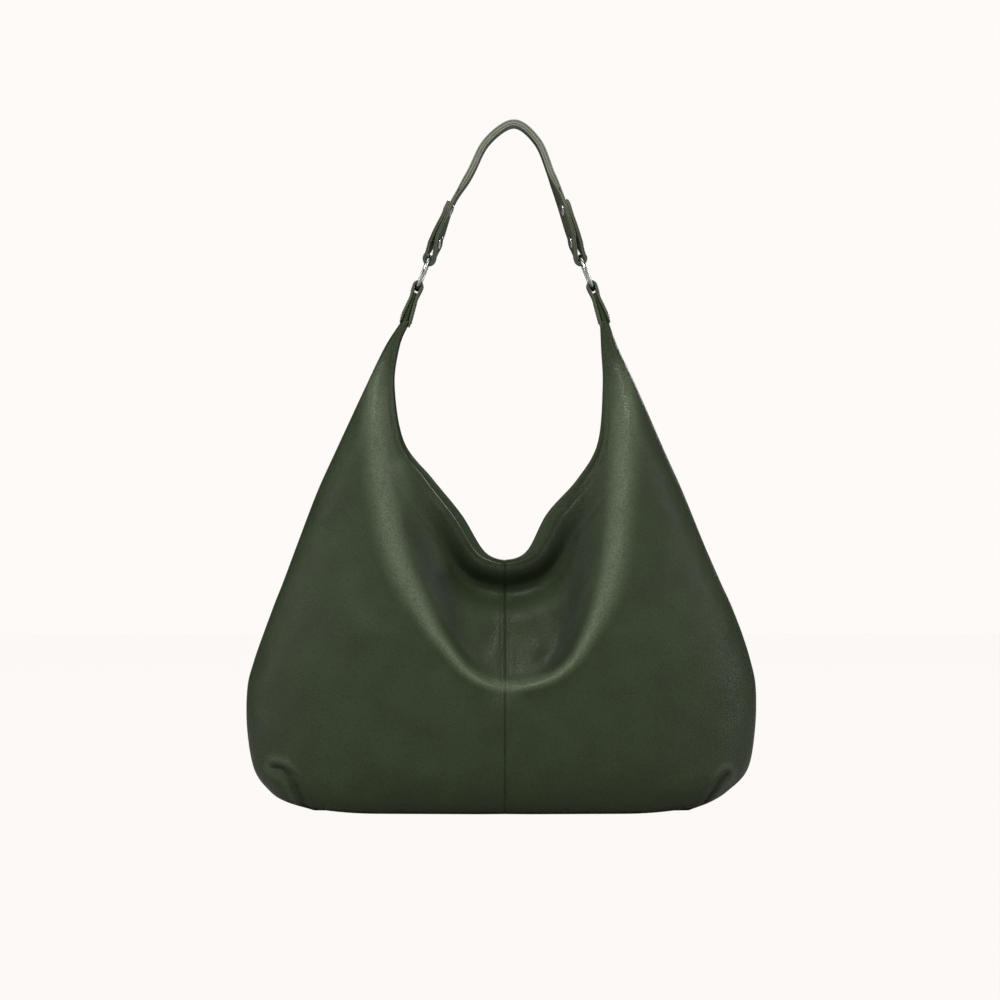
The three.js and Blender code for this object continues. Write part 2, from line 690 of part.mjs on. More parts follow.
function strapBand(route, near, far) {
  const normals = routeNormals(route);
  const shifted = (offset) => route.map((p, i) => p.clone().addScaledVector(normals[i], offset(p)));
  const outline = [...shifted(far), ...shifted(near).toReversed()];
  return band(outline, STRAP_WIDTH);
}

function rivetHole(end, along) {
  const radius = RIVET_STEM + RIVET_CLEARANCE;
  return rivetPlaced(new THREE.CylinderGeometry(radius, radius, 30, 12).rotateX(Math.PI / 2), end, along);
}

// Local +Z is placed across the strap, pointing away from the middle of the bag.
function rivetPlaced(geometry, end, along) {
  const middle = legPoint(end, 0, along);
  return geometry.rotateY(end.side * (Math.PI / 2 - radians(end.lean))).translate(middle.x, 0, middle.y);
}

function strapLeather(near, far) {
  const geometry = strapBand(strapRoute(), near, far);
  for (const end of Object.values(SIDES)) {
    const pivot = new THREE.Vector2(end.side * upperPivot.x, upperPivot.y);
    const towards = new THREE.Vector2(-end.side * ringWay.x, -ringWay.y);
    saddle(geometry, pivot, towards, LOOP_LENGTH);
  }
  const holes = Object.values(SIDES).flatMap((end) => (
    Object.values(RIVETS).map((along) => rivetHole(end, along))));
  return cut(geometry, holes);
}

function strapCore() {
  const tailTop = upperPivot.y + TAIL_LENGTH;
  const route = strapRoute().filter((p) => p.y > tailTop + 14);
  return strapBand(route, () => -STRAP_CORE / 2, () => STRAP_CORE / 2);
}

function addRivets(bag) {
  const chrome = material('rivet_steel', 0xd2d4d4, 0.12, 1);
  const seat = LAID_MIDDLE + HALF_STRAP + 0.25;
  const dome = [[0, 1.7], [RIVET_HEAD * 0.6, 1.3], [RIVET_HEAD, 0]];
  const stemEnd = -2 * seat - 0.9;
  const bore = RIVET_STEM + 0.15;
  const post = [...dome, [RIVET_STEM, 0], [RIVET_STEM, stemEnd], [0, stemEnd]];
  const cap = [...dome, [bore, 0], [bore, 1], [0, 1]];
  for (const [sideName, end] of Object.entries(SIDES)) {
    for (const [placeName, along] of Object.entries(RIVETS)) {
      const outer = turned(post.map(([r, h]) => [r, -h]).toReversed(), 12).rotateX(Math.PI);
      outer.translate(0, 0, seat);
      const inner = turned(cap, 12).translate(0, 0, seat);
      inner.rotateX(Math.PI);
      add(bag, `rivet_post_${sideName}_${placeName}`, chrome.clone(), rivetPlaced(outer, end, along));
      add(bag, `rivet_cap_${sideName}_${placeName}`, chrome.clone(), rivetPlaced(inner, end, along));
    }
  }
}

// ---- Assembly ----
function add(parent, name, look, geometry) {
  const mesh = new THREE.Mesh(outward(welded(geometry)), look);
  mesh.name = name;
  parent.add(mesh);
}

const bag = new THREE.Group();
for (const face of ['front', 'back']) {
  add(bag, `${face}_panel_left`, green('panel_leather'), panel(face, -1));
  add(bag, `${face}_panel_right`, green('panel_leather'), panel(face, 1));
  add(bag, `${face}_facing`, green('facing_leather'), facing(face));
  add(bag, `${face}_lining`, material('lining_cloth', 0x2b2f27, 0.9, 0), lining(face));
}
add(bag, 'slip_pocket', material('lining_cloth', 0x2b2f27, 0.9, 0), pocket(SLIP_POCKET));
add(bag, 'zip_pocket', material('lining_cloth', 0x2b2f27, 0.9, 0), pocket(ZIP_POCKET));
addZip(bag);
addSnap(bag);
for (const [name, { side }] of Object.entries(SIDES)) {
  add(bag, `ring_tab_${name}`, green('tab_leather'), ringTab(side));
  add(bag, `horn_end_${name}`, green('panel_leather'), hornEnd(side));
}
addRings(bag);
const apart = (offset, way) => (p) => way * (coreSpread(p) + offset);
add(bag, 'strap_top_leather', green('strap_leather'),
  strapLeather(apart(LAYER_SPACE / 2, 1), apart(HALF_STRAP, 1)));
add(bag, 'strap_under_leather', green('strap_leather'),
  strapLeather(apart(HALF_STRAP, -1), apart(LAYER_SPACE / 2, -1)));
add(bag, 'strap_core', material('strap_filler', 0x8a8577, 0.9, 0), strapCore());
addRivets(bag);

export default bag;
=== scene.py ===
import math
import bpy
import numpy as np
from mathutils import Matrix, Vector
from mathutils.bvhtree import BVHTree


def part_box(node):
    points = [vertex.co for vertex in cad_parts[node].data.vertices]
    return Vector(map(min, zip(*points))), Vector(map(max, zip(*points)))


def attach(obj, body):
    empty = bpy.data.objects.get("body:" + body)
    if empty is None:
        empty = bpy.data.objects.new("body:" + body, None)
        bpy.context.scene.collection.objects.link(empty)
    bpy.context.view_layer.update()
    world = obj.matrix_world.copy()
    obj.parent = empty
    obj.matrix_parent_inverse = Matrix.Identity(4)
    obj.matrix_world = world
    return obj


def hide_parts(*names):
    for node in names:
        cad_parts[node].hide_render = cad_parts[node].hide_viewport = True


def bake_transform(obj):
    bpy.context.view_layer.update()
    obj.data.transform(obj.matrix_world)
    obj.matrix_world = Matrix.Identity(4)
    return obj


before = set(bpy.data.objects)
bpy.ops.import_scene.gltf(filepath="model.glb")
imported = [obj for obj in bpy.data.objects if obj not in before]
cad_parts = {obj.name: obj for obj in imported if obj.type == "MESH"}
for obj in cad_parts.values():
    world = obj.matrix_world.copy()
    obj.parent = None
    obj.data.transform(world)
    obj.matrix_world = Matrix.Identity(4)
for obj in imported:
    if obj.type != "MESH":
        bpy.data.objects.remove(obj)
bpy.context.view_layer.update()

# ---- Leather panels ----
# Four panels of soft pebbled cowhide, cut 1.6 mm thick. They are sewn down the front, the back
# and the sides with their edges turned in, and they sag inward between the two horns.
MM = 0.001
LEATHER = 1.6
SEAM_GAP = 0.15

# Outer edge of each half: (x, z) at 17 rows from the floor to the end of the horn.
OUTER = {
    -1: [(158, 0.6), (181, 8.0), (194.5, 16.8), (207.3, 34.8), (213.2, 68), (213, 102), (207.6, 124),
         (200, 146), (192.6, 166), (189.2, 175), (183.2, 190), (171, 222.7), (155.2, 264), (139.6, 298.4),
         (115.6, 350), (99.2, 384), (85.7, 405)],
    1: [(152, 0.6), (169, 7.4), (184, 16.8), (200.6, 34.8), (206.8, 68), (207.4, 102), (203.2, 124),
        (196.4, 146), (188.8, 166), (185, 175), (178, 190), (163.8, 222.7), (147, 264), (131.6, 298.4),
        (109, 350), (93.2, 384), (85.7, 405)],
}
# Inner edge below the rim, on the centre seam: depth of the front and the back, and height.
CENTRE = [(0, 0, 0), (30, 30, 0), (47, 47, 5), (58, 57, 26), (60.5, 60.5, 60), (59.6, 60, 93),
          (45, 57.5, 117), (31, 47, 152), (26.5, 32, 186), (25, 24, 206)]
# Neckline above the centre: (x, depth, z) for each face and side.
NECKLINE = {
    ("front", -1): [(0, 25, 205.2), (22.5, 26, 213), (42, 25.5, 243), (65.5, 20, 273.5), (85.2, 16, 303),
                    (92.0, 12, 350), (88.4, 10.5, 384), (79.1, 9.6, 405)],
    ("front", 1): [(0, 25, 205.2), (24, 26, 213), (41.5, 25.5, 242), (65, 21, 272.5), (79.5, 16, 302),
                   (82.2, 12, 350), (80.4, 10.5, 384), (79.1, 9.6, 405)],
    ("back", -1): [(0, 23, 207.4), (17.5, 24, 214.5), (36.5, 24, 245), (60.6, 20, 275), (83.5, 16, 305),
                   (91.4, 12, 350), (88.0, 10.5, 384), (79.1, 9.6, 405)],
    ("back", 1): [(0, 23, 207.4), (18.5, 24, 214.5), (35.6, 24, 246), (60.5, 20, 274.5), (77, 16, 304),
                  (81.2, 12, 350), (80.2, 10.5, 384), (79.1, 9.6, 405)],
}
# Greatest depth of each row, and its place along the row.
FULLNESS = [(0, 0.5), (32.5, 0.5), (48.5, 0.46), (58.5, 0.42), (61, 0.36), (60, 0.36), (58.5, 0.38),
            (55.5, 0.4), (52, 0.4), (50, 0.4), (47, 0.4), (41, 0.4), (35, 0.42), (29, 0.45), (20.5, 0.48),
            (14.2, 0.5), (10.2, 0.5)]
LAST_ROW = 16
RIM_ROW = 9
RIDGE_AT = 0.45
FLAT_SHARE = 0.6


def spline(points, at, mirrored=False):
    """Points on a smooth curve through the given ones; at counts them from 0. A mirrored curve
    starts nearly level on x = 0."""
    p = np.asarray(points, float)
    at = np.clip(np.asarray(at, float), 0, len(p) - 1)
    i = np.minimum(at.astype(int), len(p) - 2)
    t = (at - i)[..., None]
    before = p[1] * (-1, 1, 1) - (0, 0, 5) if mirrored else 2 * p[0] - p[1]
    padded = np.vstack([before, p, 2 * p[-1] - p[-2]])
    a, b, c, d = (padded[i + k] for k in range(4))
    return 0.5 * (2 * b + (c - a) * t + (2 * a - 5 * b + 4 * c - d) * t**2 + (3 * b - a - 3 * c + d) * t**3)


def way_to(x, z, line):
    """Distance from each (x, z) to a line of points."""
    line = np.asarray(line, float)
    best = np.full(x.shape, 1e9)
    for (ax, az), (bx, bz) in zip(line[:-1], line[1:]):
        length = max((bx - ax) ** 2 + (bz - az) ** 2, 1e-9)
        t = np.clip(((x - ax) * (bx - ax) + (z - az) * (bz - az)) / length, 0, 1)
        best = np.minimum(best, np.hypot(x - ax - t * (bx - ax), z - az - t * (bz - az)))
    return best


def ramp(x, start, end):
    t = np.clip((x - start) / (end - start), 0, 1)
    return t * t * (3 - 2 * t)


# The crease that runs like a U from horn to horn, where the leather below stays full.
CREASE = {
    "front": [(-108, 372), (-104, 298), (-99, 257), (-87, 208), (-63, 160), (-42, 130), (-25, 113.5),
              (0, 105.5), (28, 109.5), (50, 121), (67, 145), (83, 184), (91, 224), (98, 298), (100, 372)],
    "back": [(-106, 372), (-104, 298), (-98, 257), (-90, 218), (-74, 178), (-50, 146), (-26, 132), (0, 128),
             (26, 132), (50, 146), (74, 178), (90, 218), (98, 257), (100, 298), (101, 372)],
}
# Soft folds of the front: height in mm, half width in mm, and the line they follow.
FOLDS = [
    (1.5, 10, [(-86, 285), (-78, 257), (-66, 230), (-52, 206)]),
    (-1.6, 10, [(-93, 262), (-84, 226), (-70, 190), (-52, 160)]),
    (1.3, 9, [(83, 345), (83, 300), (79, 257), (73, 226)]),
    (-1.6, 10, [(84, 236), (76, 200), (62, 166)]),
    (1.6, 15, [(-27, 160), (-22, 132)]),
    (1.4, 13, [(17, 158), (22, 136)]),
    (-1.1, 8, [(33, 126), (36, 119)]),
    (1.0, 12, [(-160, 120), (-120, 60), (-70, 34)]),
    (-0.9, 14, [(-178, 92), (-150, 44), (-104, 22)]),
    (0.9, 12, [(158, 128), (128, 66), (78, 36)]),
    (-0.9, 12, [(176, 84), (150, 46), (108, 24)]),
    (1.1, 9, [(-150, 236), (-138, 190), (-120, 148)]),
    (-1.0, 10, [(-136, 250), (-122, 206), (-104, 160)]),
    (1.1, 9, [(138, 240), (128, 190), (112, 150)]),
    (-0.9, 9, [(122, 244), (112, 196), (98, 156)]),
]
# Darts that take in the lower corners: line from the side seam inward.
DARTS = [
    [(-188, 38.5), (-181, 37.5), (-174.5, 31.5), (-169, 18.5), (-162, 4)],
    [(181, 33), (174, 26), (168, 16), (161, 5)],
]


def edge_inner(face, side, row):
    """The inner edge of a half: the centre seam up to the rim, and the neckline above it."""
    below = spline(CENTRE, np.minimum(row, RIM_ROW))
    which = 0 if face == "front" else 1
    rim = NECKLINE[face, side][0]
    near_rim = ramp(row, 7, RIM_ROW)
    depth = below[..., which] + (rim[1] - CENTRE[-1][which]) * near_rim
    height = below[..., 2] + (rim[2] - CENTRE[-1][2]) * near_rim
    centre = np.stack([np.zeros_like(depth), depth, height], -1)
    neck = spline(NECKLINE[face, side], np.maximum(row, RIM_ROW) - RIM_ROW, mirrored=True)
    return np.where((row <= RIM_ROW)[..., None], centre, neck)


RIM_LINES = {
    (face, side): edge_inner(face, side, np.linspace(RIM_ROW, LAST_ROW, 50))[:, [0, 2]] * (side, 1)
    for face in ("front", "back") for side in (-1, 1)
}
CREASES = {face: spline(line, np.linspace(0, len(line) - 1, 90)) for face, line in CREASE.items()}


def inside_crease(face, x, z):
    """Distance from the crease, negative outside it."""
    crease = CREASES[face]
    ridge = way_to(x, z, crease)
    return np.where(z > np.interp(x, crease[:, 0], crease[:, 1]), ridge, -ridge)


def below_rim(face, x, z):
    """Distance from the rim of either half."""
    return np.minimum(way_to(x, z, RIM_LINES[face, -1]), way_to(x, z, RIM_LINES[face, 1]))


def crease_reach(face, side, row):
    """How far inside the crease each row's inner edge lies."""
    steps = np.linspace(0, LAST_ROW, 161)
    edge = edge_inner(face, side, steps)
    return np.interp(row, steps, np.maximum(inside_crease(face, edge[:, 0] * side, edge[:, 2]), 0))


def spread(side, face, column, row):
    """The part of a skin point that comes from the edges alone: x, z, and the uncreased lens."""
    inner = edge_inner(face, side, row)
    outer = spline(OUTER[side], row)
    full, place = np.moveaxis(spline(FULLNESS, row), -1, 0)
    angle = np.clip((column - RIDGE_AT) / (1 - RIDGE_AT), 0, 1) * (math.pi / 2)
    across = np.where(column < RIDGE_AT, place * column / RIDGE_AT, place + (1 - place) * np.sin(angle))
    raised = np.clip((across - FLAT_SHARE) / (1 - FLAT_SHARE), 0, 1) ** 2
    tilt = raised + (across - raised) * np.minimum(1, row / RIM_ROW)
    x = inner[..., 0] + (outer[..., 0] - inner[..., 0]) * across
    z = inner[..., 2] + (outer[..., 1] - inner[..., 2]) * tilt
    return x, z, inner[..., 1], full, full * np.cos(angle)


SOFTNESS = 6.0  # mm over which the leather spreads a bend
GATHER_PITCH = 1.4
GATHER_LOW, GATHER_WIDE, GATHER_HIGH = 40, 220, 350  # steps below zero, and the grid's size


def evened(x, z, depth):
    """Depth after each point has taken the slope of what lies around it, within the softness. The
    sums for that fit are gathered on a square grid and spread by the softness both ways."""
    (x_up, x_across), (z_up, z_across) = np.gradient(x), np.gradient(z)
    area = np.abs(x_up * z_across - x_across * z_up)
    u, v = x / GATHER_PITCH + GATHER_LOW, z / GATHER_PITCH + GATHER_LOW
    nearest = (np.rint(v).astype(int), np.rint(u).astype(int))
    far_x, far_z = x / 100 - 1, z / 100 - 2
    reach = int(3.5 * SOFTNESS / GATHER_PITCH)
    kernel = np.exp(-(np.arange(-reach, reach + 1) * GATHER_PITCH / SOFTNESS) ** 2 / 2)

    def gathered(values):
        grid = np.zeros((GATHER_HIGH, GATHER_WIDE))
        np.add.at(grid, nearest, (area + 1e-4) * values)
        for axis in (0, 1):
            grid = sum(w * np.roll(grid, k - reach, axis) for k, w in enumerate(kernel))
        return between(grid, v, u)

    base = [np.ones_like(x), far_x, far_z]
    sums = np.stack([np.stack([gathered(p * q) for q in base], -1) for p in base], -2)
    side = np.stack([gathered(p * depth) for p in base], -1)
    sums += 1e-9 * np.eye(3) * sums[..., :1, :1]
    fit = np.linalg.solve(sums, side[..., None])[..., 0]
    return (fit * np.stack(base, -1)).sum(-1)


TABLE_ROWS, TABLE_COLUMNS = 20, 100  # steps per row, and over all columns
hollows = {}


def between(grid, i, j):
    """Values of a grid between its points, at row i and column j."""
    i0, j0 = i.astype(int), j.astype(int)
    a, b = i - i0, j - j0
    return ((grid[i0, j0] * (1 - b) + grid[i0, j0 + 1] * b) * (1 - a)
            + (grid[i0 + 1, j0] * (1 - b) + grid[i0 + 1, j0 + 1] * b) * a)


def hollow(face, side):
    """Depth over the whole half. The lens leans back inside the crease until it meets the rim or
    the centre seam, and above the crease the leather bends evenly from row to row."""
    if (face, side) not in hollows:
        row, column = np.meshgrid(np.linspace(0, LAST_ROW, LAST_ROW * TABLE_ROWS + 1),
                                  np.linspace(0, 1, TABLE_COLUMNS + 1), indexing="ij")
        x, z, rim_depth, full, lens = spread(side, face, column, row)
        inside = np.maximum(inside_crease(face, x * side, z), 0)
        reach = np.maximum(crease_reach(face, side, row), 4)
        share = np.clip(inside / reach, 0, 1)
        soft = 3.5 + 6 * ramp(z, 120, 200)
        steep = 3.2 + 0.6 * ramp(z, 120, 180)
        drop = (1 - (1 - share) ** steep) * (1 - np.exp(-inside / soft)) / (1 - np.exp(-reach / soft))
        depth = lens - np.maximum(0, full - rim_depth) * drop
        depth = depth + (rim_depth - depth) * ramp(column, 0.12, 0)
        even = evened(x, z, depth)
        within = ramp(row, 6.5, 7.8) * ramp(row, 15.5, 14.5) * ramp(column, 0.94, 0.72)
        hollows[face, side] = depth + (even - depth) * within
    return hollows[face, side]


TUCK_DEPTH, TUCK_FROM_RIM, TUCK_WIDTH = 15, 24, 13  # the hollow under the front rim
FACING_MARK = 21  # the facing's lower edge shows this far below the rim
SEAM_STITCH, RIM_STITCH = 3.3, 3.2  # rows of stitches, from the seam and from the rim


def pressed(distance, width):
    """1 on a line, falling off smoothly over the width."""
    return np.exp(-(distance / width) ** 2)


def skin(face, side, column, row, fine=True):
    """A point of the outer skin, in mm. column 0 is the inner edge and 1 the side seam. The fine
    relief is that of the seams and of the leather itself, which the layers below don't follow."""
    column, row = np.broadcast_arrays(np.asarray(column, float), np.asarray(row, float))
    x, z, _, _, _ = spread(side, face, column, row)
    world = x * side
    table = hollow(face, side)
    i = np.clip(row * TABLE_ROWS, 0, table.shape[0] - 1.001)
    j = np.clip(column * TABLE_COLUMNS, 0, table.shape[1] - 1.001)
    depth = between(table, i, j)
    rim = below_rim(face, world, z)
    lift = 0.5 * pressed(rim - FACING_MARK, 1.6) * ramp(row, 6, 7.5) * ramp(row, 15, 13.5)
    if face == "front":
        centred = ramp(np.abs(world), 80, 20)
        tuck = TUCK_DEPTH * pressed(rim - TUCK_FROM_RIM, TUCK_WIDTH)
        lift = lift - tuck * ramp(rim, 0, 20) * centred
        for height, width, line in FOLDS:
            smooth = spline(line, np.linspace(0, len(line) - 1, 4 * len(line)))
            lift = lift + height * pressed(way_to(world, z, smooth), width)
        for line in DARTS:
            far = way_to(world, z, line)
            corner = ramp(np.abs(world), 148, 166)
            lift = lift + (1.1 * pressed(far - 5.5, 3) - 2.6 * pressed(far, 1.5)) * corner
    else:
        lift = lift + 1.5 * np.sin(world / 23 + z / 31) * ramp(z, 20, 80) * ramp(z, 330, 200)
    ridge = way_to(world, z, CREASES[face])
    crest = 1.8 + 2.6 * ramp(z, 120, 210)
    lift = lift + crest * pressed(ridge, 6 + 7 * ramp(z, 120, 220)) * ramp(z, 390, 320)
    depth = depth + lift * ramp(column, 1, 0.9)
    if fine:
        # pebbled leather never lies flat: broad, very shallow waves
        waves = (0.35 * np.sin(world / 9.1 + 1.7 * np.sin(z / 13)) * np.sin(z / 11.3 + world / 37)
                 + 0.22 * np.sin(world / 4.7 - z / 8.2))
        depth = depth + waves * ramp(column, 1, 0.93) * ramp(z, 0, 20) * ramp(column, 0, 0.05)
        seam = np.where(row < RIM_ROW, x, 50)
        depth = depth - 0.9 * pressed(seam, 1.1) - 0.25 * pressed(seam - SEAM_STITCH, 0.7)
        depth = depth + 0.15 * pressed(seam - 5.6, 2.4)
        depth = depth - 0.28 * pressed(rim - RIM_STITCH, 0.7) + 0.3 * pressed(rim - 6, 2.2)
    return np.stack([x, np.maximum(depth, 0), np.maximum(z, 0)], -1)


def placed(face, side, points):
    """From the half's own (x, depth, z) to the bag's frame, still in mm."""
    way = -1 if face == "front" else 1
    return points * np.array([side, way, 1.0])


def grid_normals(grid):
    across = np.gradient(grid, axis=1)
    up = np.gradient(grid, axis=0)
    normal = np.cross(across, up)
    return normal / np.maximum(np.linalg.norm(normal, axis=-1, keepdims=True), 1e-9)


def picked(pieces):
    """Leave only these pieces selected, with the first of them active."""
    for other in bpy.context.selected_objects:
        other.select_set(False)
    for piece in pieces:
        piece.select_set(True)
    bpy.context.view_layer.objects.active = pieces[0]


def make(name, points, faces, material, smooth=True):
    """A closed mesh from points in mm."""
    mesh = bpy.data.meshes.new(name)
    mesh.from_pydata((np.asarray(points, float) * MM).tolist(), [], [list(map(int, f)) for f in faces])
    mesh.validate()
    obj = bpy.data.objects.new(name, mesh)
    bpy.context.scene.collection.objects.link(obj)
    mesh.materials.append(material)
    mesh.polygons.foreach_set("use_smooth", [smooth] * len(mesh.polygons))
    picked([obj])
    bpy.ops.object.mode_set(mode="EDIT")
    bpy.ops.mesh.select_all(action="SELECT")
    bpy.ops.mesh.normals_make_consistent(inside=False)
    bpy.ops.object.mode_set(mode="OBJECT")
    return obj


def loft(name, loops, material, ring=False):
    """A closed tube through loops of equal length, with flat ends unless it is a ring."""
    loops = np.asarray(loops, float)
    rows, count = loops.shape[:2]
    i = np.arange(count)
    faces = []
    for r in range(rows if ring else rows - 1):
        a, b = r * count, ((r + 1) % rows) * count
        faces.append(np.stack([a + i, a + (i + 1) % count, b + (i + 1) % count, b + i], 1))
    faces = np.concatenate(faces).tolist()
    if not ring:
        for start in (0, (rows - 1) * count):
            for k in range(count // 2 - 1):
                faces.append([start + k, start + k + 1, start + count - 2 - k, start + count - 1 - k])
    return make(name, loops.reshape(-1, 3), faces, material)


def shell(name, outer, inner, material):
    """A sheet between two grids of points, with its edges rounded over."""
    edge = 0.28 * np.linalg.norm(outer - inner, axis=-1, keepdims=True)
    middle = (outer + inner) / 2

    def rounded(last, before):
        push = middle[:, last] - middle[:, before]
        length = np.maximum(np.linalg.norm(push, axis=-1, keepdims=True), 1e-6)
        return (middle[:, last] + edge[:, last] * push / length)[:, None]

    loops = np.concatenate([outer, rounded(-1, -2), inner[:, ::-1], rounded(0, 1)], 1)
    return loft(name, loops, material)


def columns_of(count):
    """Columns crowded at the seam or rim, where the detail is fine."""
    u = np.linspace(0, 1, count)
    return 0.16 * u + 0.84 * u**1.75


def colour(text):
    """Linear values of an sRGB hex colour."""
    values = [int(text[k:k + 2], 16) / 255 for k in (0, 2, 4)]
    return (*[v / 12.92 if v <= 0.04045 else ((v + 0.055) / 1.055) ** 2.4 for v in values], 1)


def node(tree, kind, links=None, **settings):
    """Adds a node; links maps its inputs to values or to another node's output."""
    made = tree.nodes.new(kind)
    for key, value in settings.items():
        setattr(made, key, value)
    for key, value in (links or {}).items():
        if isinstance(value, bpy.types.NodeSocket):
            tree.links.new(value, made.inputs[key])
        else:
            made.inputs[key].default_value = value
    return made


def mapped(tree, value, low, high, new_low, new_high):
    return node(tree, "ShaderNodeMapRange", {0: value, 1: low, 2: high, 3: new_low, 4: new_high}).outputs[0]


def mixed(tree, share, first, second, blend_type="MIX"):
    """Colours at sockets 6 and 7 of a Mix node, joined by a share."""
    return node(tree, "ShaderNodeMix", {0: share, 6: first, 7: second}, data_type="RGBA",
                blend_type=blend_type).outputs[2]


def blank(name):
    """A new material, its node tree, its shader, and the object's own coordinates."""
    made = bpy.data.materials.new(name)
    made.use_nodes = True
    tree = made.node_tree
    return made, tree, tree.nodes["Principled BSDF"], node(tree, "ShaderNodeTexCoord").outputs["Object"]


def noise(tree, place, scale, detail, output="Fac"):
    made = node(tree, "ShaderNodeTexNoise", {"Vector": place, "Scale": scale, "Detail": detail})
    return made.outputs[output]


def sum_of(tree, first, second, operation="ADD"):
    return node(tree, "ShaderNodeMath", {0: first, 1: second}, operation=operation).outputs[0]


def leather(name, base, dark, light, grain=1.5, gloss=0.37, relief=0.12, crest_highlight=None):
    """Pebbled, finished cowhide. Cells give the pebbles, slow noise the patches that are a little
    lighter or glossier, and the valleys between pebbles hold darker dye. Where a highlight colour is
    given, it is painted along the crest of the crease on the pebble tops as a painted highlight. The dark
    colour is painted in the hollow behind the crease, under the rim and along the darts as painted shade.
    Both follow a layer of values on the vertices."""
    made, tree, shader, place = blank(name)
    wobble = noise(tree, place, 620.0, 2.0, "Color")
    centred = node(tree, "ShaderNodeVectorMath", {0: wobble, 1: (0.5, 0.5, 0.5)}, operation="SUBTRACT")
    short = node(tree, "ShaderNodeVectorMath", {0: centred.outputs[0], "Scale": 0.0011}, operation="SCALE")
    cells = {"Vector": node(tree, "ShaderNodeVectorMath", {0: place, 1: short.outputs[0]}).outputs[0],
             "Scale": 1000 / grain}
    pebble = node(tree, "ShaderNodeTexVoronoi", cells, feature="SMOOTH_F1")
    pebble.inputs["Smoothness"].default_value = 0.6
    pebble = pebble.outputs["Distance"]
    groove = node(tree, "ShaderNodeTexVoronoi", cells, feature="DISTANCE_TO_EDGE")
    valley = mapped(tree, groove.outputs["Distance"], 0.0, 0.16, 0.0, 1.0)
    pores = noise(tree, place, 2600.0, 3.0)
    patch = noise(tree, place, 34.0, 4.0)
    wide = noise(tree, place, 9.0, 2.0)
    tone = mixed(tree, mapped(tree, patch, 0.3, 0.7, 0.0, 1.0), colour(base), colour(light))
    tone = mixed(tree, mapped(tree, wide, 0.35, 0.7, 0.0, 0.55), tone, colour(base))
    tone = mixed(tree, mapped(tree, valley, 0.0, 1.0, 0.55, 0.0), tone, colour(dark))
    rough = mapped(tree, patch, 0.25, 0.75, gloss - 0.06, gloss + 0.1)
    # painted highlight on the crease crest, on the pebble tops, and painted shade in the hollows, under the
    # rim and along the darts; the crest is also a little glossier
    if crest_highlight:
        painted_light = node(tree, "ShaderNodeAttribute", attribute_name="painted_light").outputs["Fac"]
        on_crest = mapped(tree, painted_light, 0.05, 1.0, 0.0, 0.85)
        on_pebble = mapped(tree, pebble, 0.1, 0.7, 1.0, 0.45)
        tone = mixed(tree, sum_of(tree, on_crest, on_pebble, "MULTIPLY"), tone, colour(crest_highlight))
        tone = mixed(tree, mapped(tree, painted_light, -1.0, 0.0, 0.85, 0.0), tone, colour(dark))
        rough = sum_of(tree, rough, mapped(tree, painted_light, 0.0, 1.0, 0.0, 0.08), "SUBTRACT")
    tree.links.new(tone, shader.inputs["Base Color"])
    rough = sum_of(tree, rough, mapped(tree, valley, 0, 1, 0.14, 0.0))
    tree.links.new(rough, shader.inputs["Roughness"])
    height = sum_of(tree, mapped(tree, pebble, 0.0, 0.8, 1.0, 0.0), valley)
    height = sum_of(tree, sum_of(tree, pores, 0.22, "MULTIPLY"), height)
    bump = node(tree, "ShaderNodeBump", {"Height": height, "Strength": 1.0, "Distance": relief * MM})
    tree.links.new(bump.outputs["Normal"], shader.inputs["Normal"])
    shader.inputs["Specular IOR Level"].default_value = 0.42
    return made


def paint_crease_light_and_shade(obj, face):
    """Painted light and shade, kept on the vertices: 1 along the crest of the crease, a painted highlight,
    and below 0 in the hollow behind it, under the rim and along the darts, painted shade."""
    count = len(obj.data.vertices)
    at = np.zeros(count * 3)
    obj.data.vertices.foreach_get("co", at)
    x, z = at.reshape(-1, 3)[:, 0] / MM, at.reshape(-1, 3)[:, 2] / MM
    inside = inside_crease(face, x, z)
    wide = 4.4 + 6.2 * ramp(z, 112, 200)
    crest = pressed(inside - 0.5, wide) * ramp(z, 392, 330)
    wall = pressed(inside - 2.2 * wide, 1.1 * wide)
    wall = wall * ramp(z, 300, 200) * ramp(np.abs(x), 24, 44)
    under = pressed(below_rim(face, x, z) - 13, 11) * ramp(np.abs(x), 75, 30)
    # crest is painted highlight; wall and under are painted shade, in the hollow inside the crease and
    # under the front rim
    painted_light = crest - 0.75 * wall - 0.9 * under
    if face == "front":
        # a little painted highlight on the first fold, painted shade along each dart and a little painted
        # highlight on the puff beside it
        painted_light = painted_light + 0.4 * pressed(way_to(x, z, FOLDS[0][2]), 7)
        for line in DARTS:
            far = way_to(x, z, line)
            puff = pressed(far - 7, 3) * ramp(np.abs(x), 160, 176)
            painted_light = painted_light - pressed(far, 2) + 0.3 * puff
    layer = obj.data.attributes.new("painted_light", "FLOAT", "POINT")
    layer.data.foreach_set("value", np.clip(painted_light, -1, 1))


# the last colour is a painted highlight for the crease crest; the dark colour is also painted shade in the
# hollows and under the rim
panel_leather = leather("green_pebbled_cowhide", "28341c", "0f1606", "303d22", crest_highlight="68745b")

